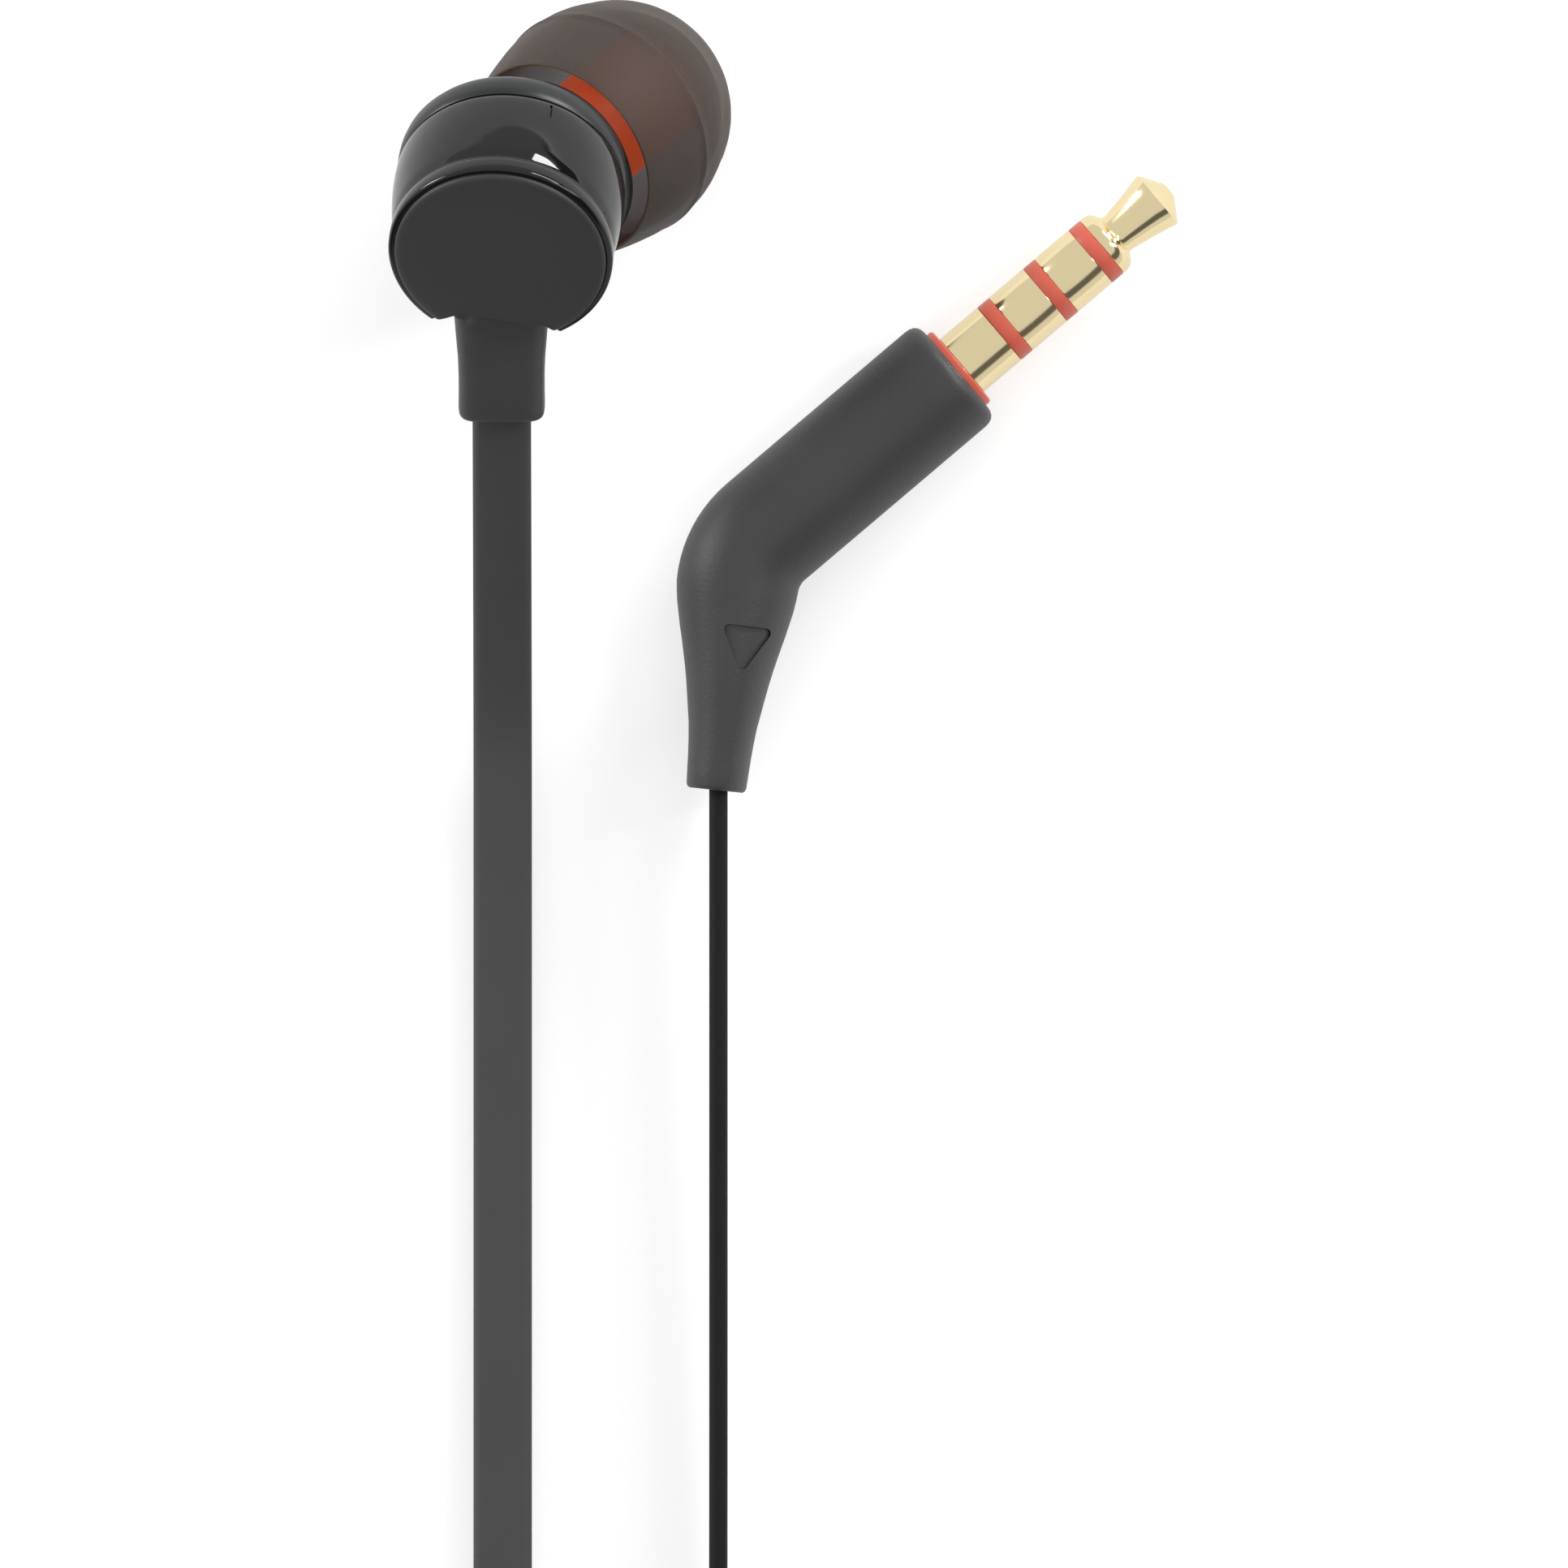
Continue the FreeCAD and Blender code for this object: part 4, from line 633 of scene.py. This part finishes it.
def buildPlug():
    stand, axis = plugFrame()
    place = placed(stand)
    body, gold = "earphones", "contact_gold"
    end, band, contact = plug["sleeveEnd"], plug["band"], plug["contact"]
    shoulder = end + 3 * band + 2 * contact
    sleeve = turnedForm([(1.2, -3), (1.5, -3), (1.5, 0.35), (1.7, 0.35), (1.75, 0.38), (1.75, end - 0.05), (1.7, end),
                         (1.2, end)], 96)
    newPiece("sleeveContact", sleeve, place, "gold", body, ["sleeve_contact"], 40)
    newPiece("ringContactRear", ringForm(end + band, end + band + contact, 0.05), place, "gold", body,
             ["ring_contact_rear"], 40)
    newPiece("ringContactFront", ringForm(end + 2 * band + contact, end + 2 * band + 2 * contact, 0.05), place,
             "gold", body, ["ring_contact_front"], 40)
    tipForm = turnedForm([(0, -5.4), (0.5, -5.4), (0.5, shoulder), (1.7, shoulder), (1.75, shoulder + 0.06),
                          (1.75, shoulder + 0.3), (1.7, shoulder + 0.5), (1.56, shoulder + 0.68),
                          (1.34, shoulder + 0.82), (1.16, shoulder + 0.92), (1.1, shoulder + 1.05),
                          (1.12, shoulder + 1.25), (1.3, 12.0), (1.5, 12.95), (1.61, 13.4), (1.6, 13.5),
                          (1.5, 13.6), (0.5, 14.24), (0.36, 14.3), (0, 14.3)], 96)
    newPiece("tipContact", tipForm, place, "gold", body, ["tip_contact"], 32)
    bands = blended(*[ringForm(end + k * (band + contact), end + k * (band + contact) + band, 0.03)
                      for k in range(3)])
    newPiece("insulatorBands", bands, place, "insulator", body, ["insulator_bands"], 40)
    collar = turnedForm([(1.5, 0), (2.35, 0), (2.35, 0.2), (2.32, 0.29), (2.22, 0.35), (1.5, 0.35)], 96)
    newPiece("plugCollar", collar, place, "insulator", body, ["plug_collar"], 40)

    # The boot: straight back from the plug, round a bend, and down to the cord
    def bootLoop(run, halfWidth, halfDepth):
        past = run - plug["straight"]
        turn = min(max(past / plug["bendRadius"], 0.0), radians(plug["bend"]))
        spin = Matrix.Rotation(turn, 3, "Z")
        way = spin @ (axis * -1)
        if past <= 0:
            middle = Vector(plug["face"]) - axis * run
        else:
            out = Vector((-axis.y, axis.x, 0)) * -1
            start = Vector(plug["face"]) - axis * plug["straight"]
            centre = start + out * plug["bendRadius"]
            middle = centre - spin @ out * plug["bendRadius"] + way * (past - turn * plug["bendRadius"])
        side = way.cross(Vector((0, 0, 1)))
        return (lambda angle: (halfDepth * cos(angle), halfWidth * sin(angle)),
                axes(Vector((0, 0, 1)), side, way, middle))

    stations = [(0.0, 2.5, 2.5), (0.03, 2.72, 2.72), (0.12, 2.92, 2.93), (0.28, 3.07, 3.08), (0.5, 3.15, 3.16),
                (0.75, 3.18, 3.19)]
    stations += [(run, 3.18, 3.19) for run in (2.0, 4.5, 7.0, 9.5, 11.6)]
    stations += [(plug["straight"] + 0.32 * k, 3.18 - 0.005 * k, 3.19 - 0.001 * k) for k in range(11)]
    stations += [(16.5, 3.08, 3.17), (17.1, 2.99, 3.15), (17.7, 2.86, 3.13), (18.3, 2.73, 3.1), (18.9, 2.58, 3.06),
                 (19.5, 2.44, 3.02), (20.2, 2.28, 2.97), (20.9, 2.14, 2.91), (21.6, 2.02, 2.85), (22.4, 1.89, 2.77),
                 (23.2, 1.76, 2.69), (24.0, 1.68, 2.62), (24.8, 1.62, 2.54), (25.6, 1.58, 2.48), (26.3, 1.54, 2.42),
                 (26.45, 1.48, 2.36), (26.53, 1.36, 2.24)]
    boot = bridgedForm([bootLoop(*station) for station in stations], 96)
    core = bridgedForm([bootLoop(run, halfWidth - plug["markDepth"], halfDepth - plug["markDepth"])
                        for run, halfWidth, halfDepth in stations], 96)
    mark = carved(prism(plug["mark"], 4.2, 7.5, plug["markCorner"]), core)
    newPiece("plugBoot", carved(boot, mark), placed(Matrix.Identity(4)), "relief", body,
             ["plug_boot"], 50)
    print("plug built")


buildPlug()

# Remote control, splitter and ties
remote = {"x": -14.42, "y": -60.0, "length": 28.0, "width": 6.6, "height": 4.4, "corner": 1.9,
          "wall": 0.8, "seamGap": 0.02, "rounding": 0.8, "buttonLength": 8.0, "buttonWidth": 3.6,
          "soundHole": 0.4, "soundHoleAt": 9}
splitter = {"x": 32.7, "y": -99.15, "z": 8.0, "length": 9.5, "thick": 3.6, "tall": 7.6}
ties = {"mainCoilTie": {"node": "main_coil_tie", "centre": (14.12, -61.3), "inner": 12.3, "outer": 18.2,
                        "top": 7.05, "angle": 40},
        "legCoilTie": {"node": "leg_coil_tie", "centre": (3.68, -102.0), "inner": 13.9, "outer": 18.8,
                       "top": 13.95, "angle": 205}}


def buildRemote():
    stand = placed(Matrix.Translation((remote["x"], remote["y"], 0)))
    half, gap, wall = remote["height"] / 2, remote["seamGap"], remote["wall"]
    lower = roundedBox(remote["width"], remote["length"], half - gap, remote["corner"], 0)
    bottom = [e for e in lower.edges if e.verts[0].co.z < 0.01 and e.verts[1].co.z < 0.01]
    bmesh.ops.bevel(lower, geom=bottom, offset=remote["rounding"], offset_type="OFFSET", affect="EDGES",
                    segments=5, profile=0.5, material=-1)
    innerWidth, innerLength = remote["width"] - 2 * wall, remote["length"] - 4 * wall
    lower = carved(softened(lower, 0.06, 50, 2), roundedBox(innerWidth, innerLength, 3, 0.3, 0, wall))
    newPiece("remoteLower", lower, stand, "cap", "earphones", ["remote_lower_shell"], 45)
    upper = roundedBox(remote["width"], remote["length"], half - gap, remote["corner"], 0, half + gap)
    top = [e for e in upper.edges if min(e.verts[0].co.z, e.verts[1].co.z) > remote["height"] - 0.01]
    bmesh.ops.bevel(upper, geom=top, offset=remote["rounding"], offset_type="OFFSET", affect="EDGES",
                    segments=5, profile=0.5, material=-1)
    window = roundedBox(remote["buttonWidth"] + 0.2, remote["buttonLength"] + 0.2, 4, 0.9, 0, 2.5)
    hole = remote["soundHole"]
    soundHole = turnedForm([(0, 2.5), (hole, 2.5), (hole, 6), (0, 6)], 32)
    bmesh.ops.translate(soundHole, vec=(0, remote["soundHoleAt"], 0), verts=soundHole.verts)
    hollow = roundedBox(innerWidth, innerLength, half - wall + 1, 0.3, 0, half - 1)
    upper = carved(carved(carved(softened(upper, 0.06, 50, 2), hollow), window), soundHole)
    newPiece("remoteUpper", upper, stand, "cap", "earphones", ["remote_upper_shell"], 45)
    button = blended(roundedBox(remote["buttonWidth"], remote["buttonLength"], 2.1, 0.8, 0.25, 3.15),
                     roundedBox(remote["buttonWidth"] + 1, remote["buttonLength"] + 1, 0.4, 0.8, 0, 3.15))
    newPiece("remoteButtonCap", button, stand, "relief", "button", ["remote_button"], 45)
    print("remote built")


def buildSplitter():
    shape = roundedBox(splitter["thick"], splitter["length"], splitter["tall"], 1.2, 0.5, -splitter["tall"] / 2)
    newPiece("splitterBody", shape, placed(Matrix.Translation((splitter["x"], splitter["y"], splitter["z"]))),
             "relief", "earphones", ["splitter"], 45)


tieBand = {"wall": 0.5, "width": 4.0, "slack": 0.15, "corner": 0.9, "edge": 0.08}


def buildTie(name):
    tie = ties[name]
    wall, width = tieBand["wall"], tieBand["width"]
    low, high = 0.0, tie["top"] + tieBand["slack"] + wall
    shape = bmesh.new()
    corners = [(tie["inner"] - wall, low), (tie["outer"] + wall, low), (tie["outer"] + wall, high),
               (tie["inner"] - wall, high)]
    verts = [shape.verts.new((x, -width / 2, z)) for x, z in corners]
    outline = [shape.edges.new((verts[k - 1], verts[k])) for k in range(4)]
    grown = bmesh.ops.extrude_edge_only(shape, edges=outline)["geom"]
    bmesh.ops.translate(shape, vec=(0, width, 0), verts=[v for v in grown if isinstance(v, bmesh.types.BMVert)])
    corner = [e for e in shape.edges if abs(e.verts[0].co.y - e.verts[1].co.y) > 3]
    bmesh.ops.bevel(shape, geom=corner, offset=tieBand["corner"], offset_type="OFFSET", affect="EDGES",
                    segments=6, profile=0.5, material=-1)
    bmesh.ops.recalc_face_normals(shape, faces=shape.faces)
    bmesh.ops.solidify(shape, geom=shape.faces[:], thickness=wall)
    turn = Matrix.Rotation(radians(tie["angle"]), 4, "Z")
    place = placed(Matrix.Translation((*tie["centre"], 0)) @ turn)
    newPiece(name, softened(shape, tieBand["edge"], 60, 2), place, "tie", "earphones", [tie["node"]],
             45)


buildRemote()
buildSplitter()
for tieName in ties:
    buildTie(tieName)
buildCords()
bpy.data.objects.remove(cordProfile)
print("cords laid")

# CAD pieces that stay take their finish here
finishes = {"steel": ["nozzle_mesh", "driver_frame", "driver_grille", "driver_yoke", "driver_pole_plate"],
            "nickel": ["driver_magnet"], "copper": ["voice_coil"], "film": ["diaphragm"], "board": ["terminal_board"]}
kept = {"remote_board": "board", "switch_body": "switch", "switch_plunger": "switch", "microphone": "nickel",
        "plug_core": "core"}
for finish, names in finishes.items():
    for name in names:
        kept["left_" + name] = finish
        kept["right_" + name] = finish
for name, finish in kept.items():
    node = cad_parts[name]
    node.data.materials.clear()
    node.data.materials.append(materials[finish])


# Floor and lights
table = {"size": 3.0, "drop": 0.00002, "glowUnseen": 0.3, "glowSeen": 0.55}


def buildFloor():
    shape = bmesh.new()
    bmesh.ops.create_grid(shape, x_segments=1, y_segments=1, size=table["size"])
    bmesh.ops.translate(shape, vec=(0, 0, -table["drop"]), verts=shape.verts)
    mesh = bpy.data.meshes.new("floor")
    shape.to_mesh(mesh)
    shape.free()
    material, tree, shader = newMaterial("white table", Roughness=0.9, Specular_IOR_Level=0.1,
                                         Emission_Color=(1, 1, 1, 1))
    grain = useGroup(tree, grainGroup, Scale=40.0, Patch_Scale=3.0)
    mixedColour(tree, shader, grain.outputs["Patch"], (0.62, 0.62, 0.62), (0.64, 0.64, 0.64))
    glow = addNode(tree, "ShaderNodeMapRange")  # lit through, as a light table, where it is looked at
    glow.inputs["To Min"].default_value = table["glowUnseen"]
    glow.inputs["To Max"].default_value = table["glowSeen"]
    seen = addNode(tree, "ShaderNodeLightPath")
    tree.links.new(seen.outputs["Is Camera Ray"], glow.inputs["Value"])
    tree.links.new(glow.outputs["Result"], shader.inputs["Emission Strength"])
    mesh.materials.append(material)
    floor = bpy.data.objects.new("floor", mesh)
    bpy.context.scene.collection.objects.link(floor)


def addSoftbox(name, place, aim, size, power):
    data = bpy.data.lights.new(name, "AREA")
    data.shape = "RECTANGLE"
    data.size, data.size_y = size
    data.energy = power
    lamp = bpy.data.objects.new(name, data)
    lamp.location = place
    lamp.rotation_euler = (Vector(aim) - Vector(place)).to_track_quat("-Z", "Y").to_euler()
    bpy.context.scene.collection.objects.link(lamp)


lights = {"sky": 0.72, "card": 0.12, "cardTilt": 55.0, "cardEdge": 0.16, "cardSoft": 0.1, "aim": (-10, 25, 5)}
softboxes = {  # place from the aim and size in metres, power in watts
    "left box": ((-0.8, 0.35, 0.22), (0.25, 0.35), 4.0),
    "right box": ((0.75, 0.3, 0.5), (0.12, 0.7), 3.0),
    "top box": ((0.53, 0.7, 0.3), (0.4, 0.16), 4.0),
}


# A pale studio all round, with one long dark card that draws the dark line along the plug
def buildLights():
    world = bpy.data.worlds.new("studio")
    world.use_nodes = True
    tree = world.node_tree
    background = tree.nodes["Background"]
    background.inputs["Color"].default_value = (1, 1, 1, 1)
    heading, tilt = radians(plug["heading"]), radians(lights["cardTilt"])
    aside = Vector((sin(heading), -cos(heading), 0)) * cos(tilt) - Vector((0, 0, 1)) * sin(tilt)
    place = addNode(tree, "ShaderNodeTexCoord")
    reach = addNode(tree, "ShaderNodeVectorMath", operation="DOT_PRODUCT")
    reach.inputs[1].default_value = aside
    size = addNode(tree, "ShaderNodeMath", operation="ABSOLUTE")
    shade = addNode(tree, "ShaderNodeMapRange", interpolation_type="SMOOTHSTEP")
    shade.inputs["From Min"].default_value = lights["cardEdge"]
    shade.inputs["From Max"].default_value = lights["cardEdge"] + lights["cardSoft"]
    shade.inputs["To Min"].default_value = lights["card"]
    shade.inputs["To Max"].default_value = lights["sky"]
    tree.links.new(place.outputs["Generated"], reach.inputs[0])
    tree.links.new(reach.outputs["Value"], size.inputs[0])
    tree.links.new(size.outputs[0], shade.inputs["Value"])
    tree.links.new(shade.outputs["Result"], background.inputs["Strength"])
    bpy.context.scene.world = world
    middle = spot(*lights["aim"])
    for name, (away, extent, power) in softboxes.items():
        addSoftbox(name, middle + Vector(away), middle, extent, power)


buildFloor()
buildLights()

print("scene ready")
